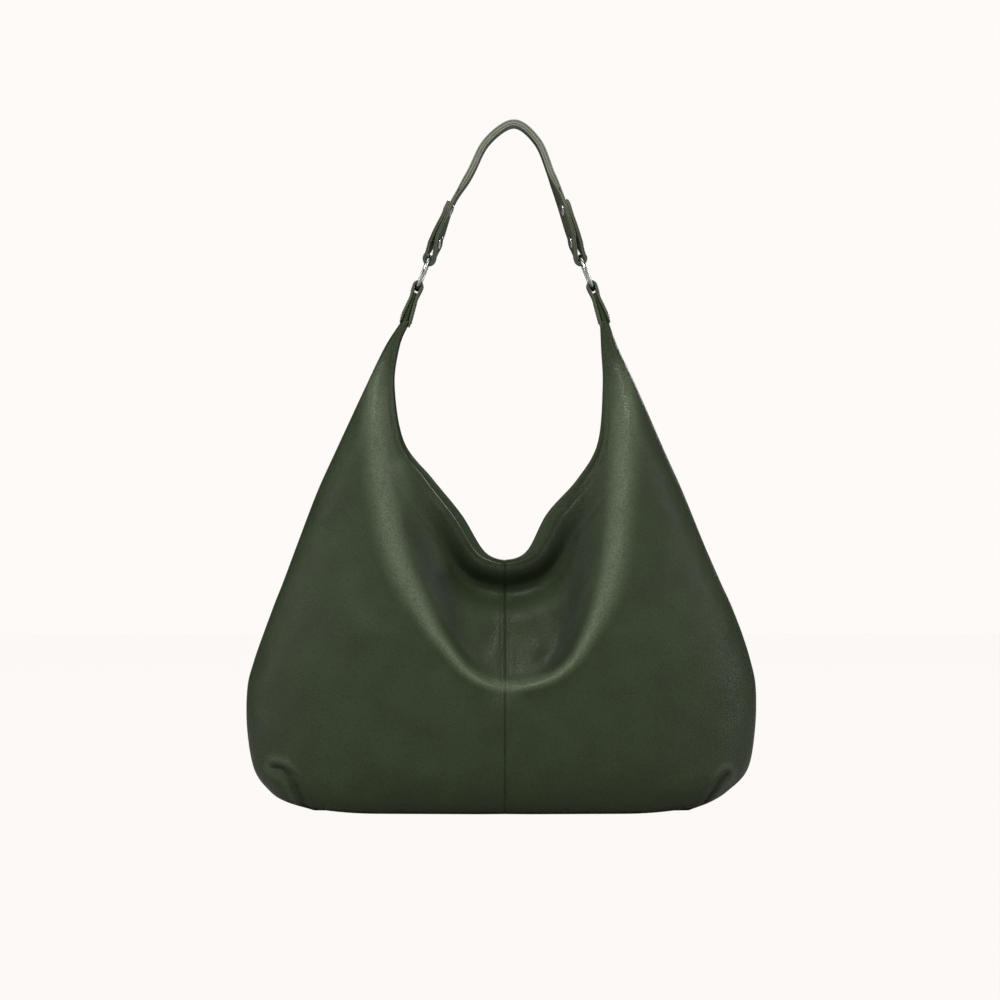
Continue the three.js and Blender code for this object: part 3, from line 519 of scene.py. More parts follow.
ROWS = 300
COLUMNS = 84
rows = np.linspace(0, LAST_ROW, ROWS)[:, None]
columns = columns_of(COLUMNS)[None, :]
panels = {}
for face in ("front", "back"):
    for side, side_name in ((-1, "left"), (1, "right")):
        way = -1 if face == "front" else 1
        points = skin(face, side, columns, rows)
        points[..., 0] = np.maximum(points[..., 0], SEAM_GAP)
        outer = placed(face, side, points)
        outer[..., 1] += SEAM_GAP * way
        deeper = placed(face, side, skin(face, side, columns, rows, fine=False))
        normal = grid_normals(deeper)
        normal *= np.sign(np.sum(normal[:, COLUMNS // 3, 1])) * way
        inner = deeper - normal * LEATHER
        inner[..., 1] = way * np.maximum(inner[..., 1] * way, SEAM_GAP)
        inner[..., 0] = side * np.maximum(inner[..., 0] * side, SEAM_GAP)
        inner[..., 2] = np.maximum(inner[..., 2], 0.3)
        panel = shell(f"{face}_{side_name}_leather", outer, inner, panel_leather)
        # painted highlight and painted shade for this panel, kept on its vertices
        paint_crease_light_and_shade(panel, face)
        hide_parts(f"{face}_panel_{side_name}")
        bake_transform(panel)
        panels[face, side] = panel


# ---- Facings ----
# A band of the same leather inside the neckline, sewn to the panels along the rim. Its lower edge
# is turned over the top of the lining.
FACING_THICK = 1.2
FACING_TOP = LEATHER + 0.3
FACING_ROW = 7.6
FACING_END = 15.0
facing_leather = leather("green_facing_cowhide", "3c4732", "232a1b", "46523b", gloss=0.5)


def facing_edge(row):
    turn = np.clip((row - FACING_ROW) / (FACING_END - FACING_ROW) / 0.3, 0, 1)
    return 0.3 * np.sin(turn * math.pi / 2)


def layer(face, side, column, row, below):
    """Points below the skin, in the bag's frame."""
    column, row = np.broadcast_arrays(column, row)
    step = 0.01
    c, r = np.clip(column, step, 1 - step), np.clip(row, 0.15, LAST_ROW - 0.15)
    along = skin(face, side, c + step, r, False) - skin(face, side, c - step, r, False)
    up = skin(face, side, c, r + 0.1, False) - skin(face, side, c, r - 0.1, False)
    normal = np.cross(up, along)
    normal /= np.maximum(np.linalg.norm(normal, axis=-1, keepdims=True), 1e-9)
    normal *= np.where(normal[..., 1:2] < 0, -1, 1)
    at = skin(face, side, column, row, False)
    point = at - normal * np.asarray(below)[..., None]
    point[..., 0] = np.where(at[..., 0] < 1e-6, 0, np.maximum(point[..., 0], 0))
    point[..., 1] = np.maximum(point[..., 1], 0) + SEAM_GAP
    point[..., 2] = np.maximum(point[..., 2], 0.4)
    return placed(face, side, point)


def both_sides(place, face, top, thick, lift=None):
    """Outer and inner grids of a cloth that runs across the centre from left to right."""
    grids = []
    for deep in (0, thick):
        halves = []
        for side in (-1, 1):
            column, row = place
            below = top + deep + (0 if lift is None else lift)
            half = layer(face, side, column, row, np.broadcast_to(below, np.broadcast(column, row).shape))
            halves.append(half[:, ::-1] if side < 0 else half[:, 1:])
        grids.append(np.concatenate(halves, 1))
    return grids


for face in ("front", "back"):
    v = np.linspace(0, 1, 90)[None, :]
    u = np.linspace(0, 1, 14)[:, None]
    low = FACING_ROW + (FACING_END - FACING_ROW) * v
    rim = RIM_ROW + (FACING_END - RIM_ROW) * v
    place = (u * facing_edge(low), rim + (low - rim) * u)
    outer, inner = both_sides(place, face, FACING_TOP, FACING_THICK)
    facing = shell(f"{face}_facing_band", outer, inner, facing_leather)
    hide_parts(f"{face}_facing")
    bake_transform(facing)

# ---- Linings ----
# Dark green cotton twill, one cloth to each wall. It hangs a little loose inside the leather and
# is caught in the side seams and under the facings.
LINING = 0.7
LINING_TOP = LEATHER + 1.6


def twill(name, base, dark, pitch=0.55):
    """Woven cotton. Fine diagonal ribs and a faint nap, matt and slightly uneven in its dye."""
    made, tree, shader, place = blank(name)
    diagonal = {"Vector": place, "Rotation": (0, math.radians(45), 0)}
    turned = node(tree, "ShaderNodeMapping", diagonal).outputs[0]
    ribs = {"Vector": turned, "Scale": 1000 / pitch / 20, "Distortion": 0.4}
    ribs = node(tree, "ShaderNodeTexWave", ribs).outputs["Fac"]
    nap = noise(tree, place, 90.0, 5.0)
    tone = mixed(tree, ribs, colour(dark), colour(base))
    tone = mixed(tree, mapped(tree, nap, 0.3, 0.7, 0.0, 0.5), tone, colour(dark))
    tree.links.new(tone, shader.inputs["Base Color"])
    shader.inputs["Roughness"].default_value = 0.9
    shader.inputs["Sheen Weight"].default_value = 0.25
    bump = node(tree, "ShaderNodeBump", {"Height": ribs, "Strength": 0.6, "Distance": 0.12 * MM})
    tree.links.new(bump.outputs["Normal"], shader.inputs["Normal"])
    return made


lining_twill = twill("dark_green_cotton_twill", "2c3128", "20241d")


def joined(name, pieces):
    picked(pieces)
    bpy.ops.object.join()
    pieces[0].name = name
    return pieces[0]


for face in ("front", "back"):
    turn_row = FACING_ROW - 0.1
    row = np.concatenate([np.linspace(0.02, turn_row, 70), np.linspace(turn_row + 0.05, 13.4, 50)])[:, None]
    start = np.where(row <= turn_row, 0, facing_edge(row + 0.1) + 0.02)
    column = start + (1 - start) * np.linspace(0, 1, 48)[None, :]
    loose = ramp(column, 0, 0.1) * ramp(column, 1, 0.85)
    slack = 0.8 + 0.8 * np.sin(9 * column + 1.3 * row) * np.sin(2.1 * row) * loose
    halves = []
    for side in (-1, 1):
        outer = layer(face, side, column, row, LINING_TOP + slack)
        inner = layer(face, side, column, row, LINING_TOP + slack + LINING)
        halves.append(shell(f"{face}_lining_half", outer, inner, lining_twill))
    lining = joined(f"{face}_twill_lining", halves)
    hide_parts(f"{face}_lining")
    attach(lining, "bag")

# ---- Pockets ----
# Two patch pockets of the same twill on the linings, sewn round three sides. The front one gapes
# open at its top, and the back one closes with a zip.
POCKET_TOP = LINING_TOP + 3.4
POCKET_COLUMN = 0.3
for name, face, low_row, high_row, fullness, flat in (
        ("slip_pocket", "front", 2.9, 5.5, 12, (0.112, 0.078)),
        ("zip_pocket", "back", 3.1, 6.05, 3, (0.115, 0.08))):
    u = np.linspace(0, 1, 24)[None, :]
    v = np.linspace(0, 1, 30)[:, None]
    bulge = fullness * np.cos(u * math.pi / 2) * np.sin(v * math.pi / 2)
    bulge = bulge + 0.3 * np.sin(14 * u + 6 * v) * np.sin(math.pi * v)
    place = (u * POCKET_COLUMN, low_row + (high_row - low_row) * v)
    outer, inner = both_sides(place, face, POCKET_TOP, LINING, bulge)
    pocket = shell(f"{name}_twill", outer, inner, lining_twill)
    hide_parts(name)
    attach(pocket, "bag")

# ---- Zip of the back pocket ----
# Two woven tapes with a nylon coil along each, and a nickel slider with its pull.
zip_tape_twill = twill("zip_tape_weave", "242820", "1a1d17", pitch=0.4)
zip_lean = math.atan2(0.2456, 0.9694)  # of the back wall where the zip is sewn


def box_piece(name, node_name, size, material, bevel=0.15):
    """A rounded bar at a frame node's middle, leaning with the back wall."""
    low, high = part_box(node_name)
    middle = (Vector(low) + Vector(high)) / 2
    bpy.ops.mesh.primitive_cube_add(size=1, location=middle, rotation=(zip_lean, 0, 0))
    obj = bpy.context.active_object
    obj.name = name
    obj.scale = [v * MM for v in size]
    bpy.ops.object.transform_apply(location=True, rotation=True, scale=True)
    edge = obj.modifiers.new("edge", "BEVEL")
    edge.width = bevel * MM
    edge.segments = 2
    bpy.ops.object.modifier_apply(modifier="edge")
    obj.data.materials.append(material)
    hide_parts(node_name)
    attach(obj, "bag")
    return obj


def plain(name, base, rough):
    """One even colour, for thread and nylon."""
    made, _, shader, _ = blank(name)
    shader.inputs["Base Color"].default_value = colour(base)
    shader.inputs["Roughness"].default_value = rough
    return made


nylon = plain("black_green_nylon", "1f231c", 0.45)
COIL_TURNS = 82
COIL_LENGTH = 124
for part in ("upper", "lower"):
    tape = box_piece(f"zip_tape_{part}_woven", f"zip_tape_{part}", (130, 9, 0.7), zip_tape_twill)
    # the coil is a row of nylon loops, each a short ring across the tape's edge
    low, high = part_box(f"zip_coil_{part}")
    middle = (np.array(low) + np.array(high)) / 2 / MM
    along = np.array([1, 0, 0])
    up = np.array([0, -math.sin(zip_lean), math.cos(zip_lean)])
    out = np.array([0, -math.cos(zip_lean), -math.sin(zip_lean)])
    loops = []
    for turn in np.linspace(0, 1, COIL_TURNS * 8 + 1):
        t = turn * COIL_TURNS * 2 * math.pi
        point = middle + COIL_LENGTH * (turn - 0.5) * along
        point = point + 0.62 * math.cos(t) * up + 0.42 * math.sin(t) * out
        radial = math.cos(t) * up + math.sin(t) * out
        loops.append([point + 0.26 * (math.cos(a) * radial + math.sin(a) * along)
                      for a in np.linspace(0, 2 * math.pi, 5)[:-1]])
    coil = loft(f"zip_coil_{part}_loops", loops, nylon)
    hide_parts(f"zip_coil_{part}")
    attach(coil, "bag")

# ---- Metal parts ----
# Rings, rivets, snap and zip slider in polished, nickel-plated steel. The rings are closed rounds
# of bright wire, and the snap and the zip's slider are duller.


def polished(name, base, rough):
    """Plated metal, smeared a little by fingers so that it isn't quite a mirror."""
    made, tree, shader, place = blank(name)
    shader.inputs["Base Color"].default_value = colour(base)
    shader.inputs["Metallic"].default_value = 1.0
    smear = noise(tree, place, 240.0, 4.0)
    tree.links.new(mapped(tree, smear, 0.3, 0.7, rough - 0.02, rough + 0.05), shader.inputs["Roughness"])
    return made


nickel = polished("nickel_plated_steel", "dfe0df", 0.2)
dull_nickel = polished("worn_nickel", "bcbdbb", 0.26)
for name in ("zip_slider", "zip_pull"):
    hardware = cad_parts[name]
    hardware.data.materials.clear()
    hardware.data.materials.append(dull_nickel)

SNAP_RADIUS = 9
SNAP_ROW = 8.15
SNAP_PLATE = 2.4


def disc(name, face, below, radius, thick, inset=None, depth=0.0):
    """A round plate on the inside of a wall. inset leaves a rim that wide, and the middle is moved
    by depth: into the plate for a socket, or out of it for a stud."""
    at = layer(face, 1, np.array([0.0]), np.array([SNAP_ROW]), np.array([below]))[0]
    above = layer(face, 1, np.array([0.0]), np.array([SNAP_ROW + 0.2]), np.array([below]))[0]
    up = Vector((0, *(above - at)[1:])).normalized()
    inward = Vector((1, 0, 0)).cross(up) * (1 if face == "back" else -1)
    inward = inward * (1 if inward.y * (1 if face == "front" else -1) > 0 else -1)
    bpy.ops.mesh.primitive_cylinder_add(vertices=64, radius=radius * MM, depth=thick * MM)
    plate = bpy.context.active_object
    plate.name = name
    if inset:
        bpy.ops.object.mode_set(mode="EDIT")
        bpy.ops.mesh.select_all(action="DESELECT")
        bpy.ops.object.mode_set(mode="OBJECT")
        for polygon in plate.data.polygons:
            polygon.select = polygon.normal.z > 0.9
        bpy.ops.object.mode_set(mode="EDIT")
        bpy.ops.mesh.inset(thickness=inset * MM, depth=0)
        bpy.ops.mesh.inset(thickness=0.25 * MM, depth=depth * MM)
        bpy.ops.object.mode_set(mode="OBJECT")
    edge = plate.modifiers.new("edge", "BEVEL")
    edge.width = 0.12 * MM
    edge.segments = 2
    edge.limit_method = "ANGLE"
    bpy.ops.object.modifier_apply(modifier="edge")
    plate.rotation_euler = inward.to_track_quat("Z", "Y").to_euler()
    plate.location = Vector(at * MM) + inward * thick / 2 * MM
    bpy.ops.object.transform_apply(location=True, rotation=True, scale=True)
    bpy.ops.object.shade_smooth_by_angle(angle=math.radians(35))
    plate.data.materials.append(dull_nickel)
    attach(plate, "bag")
    return plate


inside_facing = FACING_TOP + FACING_THICK + 0.05
socket = disc("snap_socket_plate", "front", inside_facing, SNAP_RADIUS, SNAP_PLATE, 4.4, -1.7)
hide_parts("snap_socket")
stud = disc("snap_stud_plate", "back", inside_facing, SNAP_RADIUS, SNAP_PLATE - 0.8, 4.9, 2.2)
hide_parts("snap_stud")
for face, kind in (("front", "socket"), ("back", "stud")):
    washer = disc(f"snap_{kind}_backing", face, LEATHER + 0.02, 6, 0.26)
    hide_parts(f"snap_{kind}_washer")

RING_RADIUS = 15
WIRE_RADIUS = 1.6
RING_LEAN = 22
RING_X, RING_Z = 67.243, 445.008
for name, side in (("left", -1), ("right", 1)):
    bpy.ops.mesh.primitive_torus_add(
        major_radius=RING_RADIUS * MM, minor_radius=WIRE_RADIUS * MM, major_segments=120, minor_segments=24,
        location=(side * RING_X * MM, 0, RING_Z * MM), rotation=(0, side * math.radians(90 - RING_LEAN), 0))
    ring = bpy.context.active_object
    ring.name = f"round_ring_{name}"
    bpy.ops.object.transform_apply(location=True, rotation=True, scale=True)
    bpy.ops.object.shade_smooth()
    ring.data.materials.append(nickel)
    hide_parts(f"ring_{name}")
    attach(ring, f"{name}_ring")

# ---- Ring tabs ----
# A short strap of thick leather folded over the bottom of each ring. Its two legs hold the
# gathered end of the horn between them and are sewn through it.
TAB_LEATHER = 2.3
TAB_LEAN = math.radians(20)
STRAP_HALF_WIDTH = 10
LOWER_PIVOT = np.array([72.863, 431.1])
UPPER_PIVOT = np.array([61.624, 458.916])
tab_way = np.array([math.sin(TAB_LEAN), -math.cos(TAB_LEAN)])
tab_side = np.array([math.cos(TAB_LEAN), math.sin(TAB_LEAN)])
ring_way = np.array([-math.sin(math.radians(RING_LEAN)), math.cos(math.radians(RING_LEAN))])
tab_leather = leather("green_tab_cowhide", "3a4430", "22291a", "465139", gloss=0.42)


def painted_edge(name, low, highlight_colour):
    """Layers of leather paint, burnished by hand. Above a given height, along the arch of the strap, they
    are painted pale as a painted highlight, and lower down, on the tails and round the rings, they keep
    their dark colour."""
    made, tree, shader, place = blank(name)
    height = node(tree, "ShaderNodeSeparateXYZ", {0: place}).outputs["Z"]
    # painted highlight: the edge colour turns pale above about 0.49 m, along the strap's arch
    upper_highlight = mapped(tree, height, 0.485, 0.53, 0.0, 1.0)
    streak = noise(tree, place, 420.0, 3.0)
    uneven = sum_of(tree, upper_highlight, mapped(tree, streak, 0.3, 0.7, 0.8, 1.0), "MULTIPLY")
    tree.links.new(mixed(tree, uneven, colour(low), colour(highlight_colour)), shader.inputs["Base Color"])
    shader.inputs["Roughness"].default_value = 0.5
    return made


# the second colour is the painted highlight on the upper edges
edge_paint = painted_edge("edge_paint_with_painted_highlight", "454d3b", "7d8174")
strap_leather = leather("green_strap_cowhide", "3f4735", "293023", "4a5240", gloss=0.38, relief=0.03)


def band_section(half_width, half_thick, count=7):
    """Rounded cross section of a leather band: (across its thickness, along Y), starting at one edge."""
    flat = half_width - half_thick
    side = np.linspace(-1, 1, count)
    bow = 1 + 0.06 * (1 - side**2)
    top = np.stack([half_thick * bow, flat * side], 1)
    cap = np.linspace(math.pi / 2, -math.pi / 2, 5)[1:-1]
    right = np.stack([half_thick * np.sin(cap), flat + half_thick * np.cos(cap)], 1)
    bottom = np.stack([-half_thick * bow, -flat * side], 1)
    left = np.stack([-half_thick * np.sin(cap), -flat - half_thick * np.cos(cap)], 1)
    section = np.concatenate([top, right, bottom, left])
    return np.roll(section, 2, axis=0)


def band(name, route, half_width, half_thick, material, shift=0.0, twist=None):
    """A leather band swept along a route of (x, z). half_width and half_thick may change on the way."""
    route = np.asarray(route, float)
    way = np.gradient(route, axis=0)
    way /= np.linalg.norm(way, axis=1, keepdims=True)
    normal = np.stack([-way[:, 1], way[:, 0]], 1)
    half_width = np.broadcast_to(half_width, len(route))
    half_thick = np.broadcast_to(half_thick, len(route))
    shift = np.broadcast_to(shift, len(route))
    loops = []
    for k, (x, z) in enumerate(route):
        section = band_section(half_width[k], half_thick[k])
        off = section[:, 0] + shift[k]
        ring = np.stack([x + normal[k, 0] * off, section[:, 1], z + normal[k, 1] * off], 1)
        loops.append(ring)
    loops = np.array(loops)
    if twist is not None:
        loops = twist(loops, route)
    obj = loft(name, loops, material)
    obj.data.materials.append(edge_paint)
    count = loops.shape[1]
    section = band_section(1.0, 0.12)
    on_edge = [abs(section[k, 1] + section[(k + 1) % count, 1]) / 2 > 0.9 for k in range(count)]
    for index, face in enumerate(obj.data.polygons):
        if index < (len(loops) - 1) * count and on_edge[index % count]:
            face.material_index = 1
    return obj


def rounded_ends(length, half_width, radius=6.0):
    """Half widths along a band whose tips are rounded; length counts from the nearer tip."""
    short = np.clip(length / radius, 0, 1)
    return half_width - radius * (1 - np.sqrt(np.clip(1 - (1 - short) ** 2, 0, 1)))


def saddled(obj, pivot, towards, fade):
    """The fold follows the round wire: it is pulled towards the ring's middle away from its centre line."""
    for vertex in obj.data.vertices:
        x, y, z = (c / MM for c in vertex.co)
        away = math.hypot(x - pivot[0], z - pivot[1])
        share = 1 - float(ramp(np.array(away), fade / 3, fade))
        sag = (RING_RADIUS - math.sqrt(max(RING_RADIUS**2 - min(abs(y), 14) ** 2, 0))) * share
        vertex.co.x += towards[0] * sag * MM
        vertex.co.z += towards[1] * sag * MM


def grains(name, centres, ways, normals, length, radius, material):
    """A row of stitches, each a short rounded length of thread half sunk in the leather."""
    ring_at = np.array([-1, -0.72, 0, 0.72, 1.0])
    ring_size = np.array([0.35, 0.85, 1, 0.85, 0.35])
    turn = np.linspace(0, 2 * math.pi, 7)[:-1]
    points, faces = [], []
    for centre, way, normal in zip(centres, ways, normals):
        way = way / np.linalg.norm(way)
        across = np.cross(normal, way)
        start = len(points)
        for at, size in zip(ring_at, ring_size):
            for a in turn:
                around = math.cos(a) * across + math.sin(a) * normal
                points.append(centre + way * at * length / 2 + radius * size * around)
        for r in range(4):
            for k in range(6):
                a, b = start + r * 6 + k, start + r * 6 + (k + 1) % 6
                faces.append((a, b, b + 6, a + 6))
        faces.append(tuple(start + k for k in range(6)))
        faces.append(tuple(start + 24 + k for k in range(6)))
    return make(name, points, faces, material)


def spaced(line, pitch):
    """Points and directions at even steps along a line of points."""
    line = np.asarray(line, float)
    steps = np.linalg.norm(np.diff(line, axis=0), axis=1)
    total = np.concatenate([[0], np.cumsum(steps)])
    at = np.arange(pitch, total[-1] - pitch / 2, pitch)
    points = np.stack([np.interp(at, total, line[:, k]) for k in range(line.shape[1])], 1)
    ahead = np.stack([np.interp(at + 0.4, total, line[:, k]) for k in range(line.shape[1])], 1)
    return points, ahead - points


thread = plain("waxed_green_thread", "59634e", 0.5)
dark_thread = plain("waxed_dark_thread", "2f3728", 0.5)


def tab_point(side, across, along):
    x, z = LOWER_PIVOT + tab_way * along + tab_side * across
    return (side * x, z)


HORN_END_START = 7
LEG_OUTER, LEG_INNER = 30.2, 31.5
# the tongue's sections: how far down from the ring, half its thickness and half its width
TONGUE = ((36, 1.4, 8), (32, 2.7, 9.2), (28, 2.8, 9.6), (23, 2.35, 9.6), (17, 1.8, 9.6), (11, 1.3, 9.4),
          (8, 1.1, 9.2), (5.6, 1.6, 9.0), (3.9, 1.7, 8.6), (3.1, 1.0, 8.0))
for name, side in (("left", -1), ("right", 1)):
    def gap(along):
        share = (along - HORN_END_START) / (28 - HORN_END_START)
        return 0.9 + 1.9 * min(max(share, 0), 1.1) + 0.15 + TAB_LEATHER / 2

    def narrowed(share):
        return gap(9) + (wide - gap(9)) * float(ramp(np.array(share), 0, 1))

    skived = np.interp(np.arange(16), (0, 6), (0.45, TAB_LEATHER / 2))
    route = [tab_point(side, gap(a) - TAB_LEATHER / 2 + t, a)
             for a, t in zip(np.linspace(LEG_OUTER, 8.5, 16), skived)]
    wide = 2.2 + TAB_LEATHER / 2
    route += [tab_point(side, narrowed(t), 8.5 - 8 * t) for t in (0.2, 0.4, 0.6, 0.8)]
    route += [tab_point(side, wide * math.cos(a), -wide * math.sin(a)) for a in np.linspace(0, math.pi, 16)]
    route += [tab_point(side, -narrowed(t), 8.5 - 8 * t) for t in (0.8, 0.6, 0.4, 0.2)]
    route += [tab_point(side, -gap(a), a) for a in np.linspace(8.5, LEG_INNER, 18)]
    thick = np.full(len(route), TAB_LEATHER / 2)
    thick[:16], thick[-5:] = skived, (1.0, 0.85, 0.65, 0.45, 0.3)
    tab = band(f"ring_tab_{name}_leather", route, STRAP_HALF_WIDTH, thick, tab_leather)
    saddled(tab, (side * LOWER_PIVOT[0], LOWER_PIVOT[1]), (side * ring_way[0], ring_way[1]), 12)
    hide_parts(f"ring_tab_{name}")
    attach(tab, "horn_ends")
    # the horn's leather, pressed flat and skived to a tongue between the legs
    loops = []
    for along, half_thick, half_width in TONGUE:
        section = band_section(half_width, half_thick)
        x, z = LOWER_PIVOT + tab_way * along
        loops.append(np.stack([side * (x + section[:, 0] * tab_side[0]), section[:, 1],
                               z + section[:, 0] * tab_side[1]], 1))
    tongue = loft(f"horn_end_{name}_leather", loops, panel_leather)
    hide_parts(f"horn_end_{name}")
    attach(tongue, "horn_ends")
    centres, ways, normals = [], [], []
    for sign, end in ((1, LEG_OUTER), (-1, LEG_INNER)):
        rows = [(along, y, (0, 1.0, 0)) for along in (end - 4, 15) for y in np.arange(-7.6, 7.7, 2.5)]
        rows += [(along, y, (side * tab_way[0], 0, tab_way[1]))
                 for along in np.arange(12, end - 4, 2.5) for y in (-7.8, 7.8)]
        for along, y, way in rows:
            x, z = tab_point(side, sign * (gap(along) + TAB_LEATHER / 2 + 0.02), along)
            centres.append(np.array([x, y, z]))
            ways.append(np.array(way))
            normals.append(np.array([side * sign * tab_side[0], 0, sign * tab_side[1]]))
    sewn = grains(f"ring_tab_{name}_stitches", centres, ways, normals, 1.9, 0.24, thread)
    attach(sewn, "horn_ends")

# ---- Strap ----
# Two leathers back to back over a thin filler, with edges rounded and painted. Each end passes
# round its ring from the inside and comes back up on the outside, where two rivets hold it. The
# strap turns a little as it rises, so that the inner face of its right leg shows.
STRAP_LEATHER = 1.35
TAIL_LENGTH = 48
STRAP_RISE = 112
LOOP_INNER = 2.6
LOOP_LENGTH = 34  # from the ring to where the tail lies on the strap
HALF_STRAP = STRAP_LEATHER + 0.1
LAID = HALF_STRAP + 0.12
LOOP_MIDDLE = LOOP_INNER + HALF_STRAP
ENDS = {"left": (-1, math.radians(21), math.radians(-4)), "right": (1, math.radians(17), math.radians(16))}
OVER_ARCH = math.radians(2.5)
LOOP_TURN = math.radians(-11)


def leg_point(end, across, along):
    side, lean, _ = ENDS[end]
    x = UPPER_PIVOT[0] - along * math.sin(lean) - across * math.cos(lean)
    return (side * x, UPPER_PIVOT[1] + along * math.cos(lean) - across * math.sin(lean))


def loop_offset(along):
    return LOOP_MIDDLE + (LAID - LOOP_MIDDLE) * min(max(along / LOOP_LENGTH, 0), 1) ** 0.55


def end_route(end):
    tail = [TAIL_LENGTH - k for k in (0, 0.5, 1.2, 2.2, 3.6, 5.5, 8)] + list(np.linspace(36, 14, 10))
    tail += [12, 10, 8, 6, 4, 2, 0]
    arc = (np.arange(12) + 0.5) / 12 * math.pi
    points = [leg_point(end, -loop_offset(a), a) for a in tail]
    points += [leg_point(end, -LOOP_MIDDLE * math.cos(a), -LOOP_MIDDLE * math.sin(a)) for a in arc]
    points += [leg_point(end, loop_offset(a), a) for a in (0, 2, 4, 6, 8, 10, 12)]
    return points


arch = [(-0.47, 0.606), (-0.242, 0.843), (0.12, 0.975), (0.436, 0.843), (0.617, 0.606)]
guide = [leg_point("left", LAID, a) for a in (14, 24, 36, TAIL_LENGTH)]
guide += [(x * UPPER_PIVOT[0], UPPER_PIVOT[1] + z * STRAP_RISE) for x, z in arch]
guide += [leg_point("right", LAID, a) for a in (TAIL_LENGTH, 36, 24, 14)]
even = spline(guide, np.linspace(0, len(guide) - 1, 600))
middle, _ = spaced(even, 2.4)
route = np.array(end_route("left") + middle.tolist() + end_route("right")[::-1])
reach = np.concatenate([[0], np.cumsum(np.linalg.norm(np.diff(route, axis=0), axis=1))])
from_tip = np.minimum(reach, reach[-1] - reach)
half_widths = rounded_ends(from_tip, STRAP_HALF_WIDTH)
apart = 1.2 * ramp(route[:, 1], UPPER_PIVOT[1] + 48, UPPER_PIVOT[1] + 64)
thin_tip = 0.55 + 0.45 * ramp(from_tip, 0, 2.5)


def turned_at(x, z, ahead):
    """Where the strap is turned about, its own two directions there, and how far, for a route point."""
    end = "left" if x < 0.13 * UPPER_PIVOT[0] else "right"
    side, lean, most = ENDS[end]
    up = np.array([-side * math.sin(lean), math.cos(lean)])
    base = np.array([side * UPPER_PIVOT[0], UPPER_PIVOT[1]])
    here = np.array([x, z])
    along = float(np.dot(here - base, up))
    angle = most * float(ramp(np.array(along), 6, 42))
    looped = ramp(np.array(along), 1.5, 11) * ramp(np.array(along), 40, 16)
    angle += math.copysign(LOOP_TURN, most) * float(looped)
    pivot = base + up * along
    over = float(ramp(np.array(along), 48, 74))
    if over > 0:
        angle = angle * (1 - over) + OVER_ARCH * over * (-1 if end == "left" else 1)
        pivot = pivot * (1 - over) + here * over
        ahead = ahead / np.linalg.norm(ahead) * (1 if end == "left" else -1)
        up = up * (1 - over) + ahead * over
        up = up / np.linalg.norm(up)
    return pivot, np.array([up[1], -up[0]]), up, angle


def strap_twist(loops, route):
    ahead = np.gradient(route, axis=0)
    for k, (x, z) in enumerate(route):
        pivot, across, up, angle = turned_at(x, z, ahead[k])
        flat = loops[k][:, [0, 2]] - pivot
        a, b, y = flat @ across, flat @ up, loops[k][:, 1].copy()
        loops[k][:, 1] = a * math.sin(angle) + y * math.cos(angle)
        sideways = (a * math.cos(angle) - y * math.sin(angle))[:, None]
        loops[k][:, [0, 2]] = pivot + sideways * across + b[:, None] * up
    return loops


half_thick = STRAP_LEATHER / 2 * thin_tip
for name, sign in (("strap_under_leather", -1), ("strap_top_leather", 1)):
    shift = sign * (STRAP_LEATHER / 2 + 0.03 + apart)
    piece = band(f"{name}_band", route, half_widths, half_thick, strap_leather, shift, strap_twist)
    for side in (-1, 1):
        saddled(piece, (side * UPPER_PIVOT[0], UPPER_PIVOT[1]), (-side * ring_way[0], -ring_way[1]), 10)
    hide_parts(name)
    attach(piece, "strap")

# the filler stops short of the tails, and its edge is painted with the leathers'
core_from = int(np.argmax(apart > 0.25))
core_to = len(route) - int(np.argmax(apart[::-1] > 0.25))
filler = band("strap_filler_board", route[core_from:core_to], STRAP_HALF_WIDTH + 0.1,
              apart[core_from:core_to] + 0.02, edge_paint, 0.0, strap_twist)
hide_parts("strap_core")
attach(filler, "strap")

# two rows of stitches on both faces, from tail to tail
STITCH_SEAT = STRAP_LEATHER - 0.03
way = np.gradient(route, axis=0)
way /= np.linalg.norm(way, axis=1, keepdims=True)
normal = np.stack([-way[:, 1], way[:, 0]], 1)
rails = []
for sign in (-1, 1):
    for y in (-7.7, 7.7):
        off = sign * (STITCH_SEAT + apart)
        rails.append(np.stack([route[:, 0] + normal[:, 0] * off, np.full(len(route), y),
                               route[:, 1] + normal[:, 1] * off], 1))
rails = strap_twist(np.stack(rails, 1), route)
centres, ways, normals = [], [], []
clear = (from_tip > 4) & (route[:, 1] > UPPER_PIVOT[1] + 12)
clear_runs = np.split(np.arange(len(route)), np.where(np.diff(clear.astype(int)) != 0)[0] + 1)
for k in range(4):
    for run in clear_runs:
        if clear[run[0]] and len(run) > 4:
            points, heading = spaced(rails[run, k], 2.6)
            other = rails[run, (k + 2) % 4]
            for point, direction in zip(points, heading):
                near = np.argmin(np.linalg.norm(rails[run, k] - point, axis=1))
                face_way = rails[run, k][near] - other[near]
                normals.append(face_way / np.linalg.norm(face_way))
                centres.append(point)
                ways.append(direction)
sewn = grains("strap_stitches", centres, ways, normals, 1.95, 0.2, thread)
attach(sewn, "strap")

# ---- Rivets ----
# Domed tubular rivets, two through each folded end. The posts are set from outside and the caps
# from inside, each polished and about 10 mm across.
RIVET_HEAD = 5.0


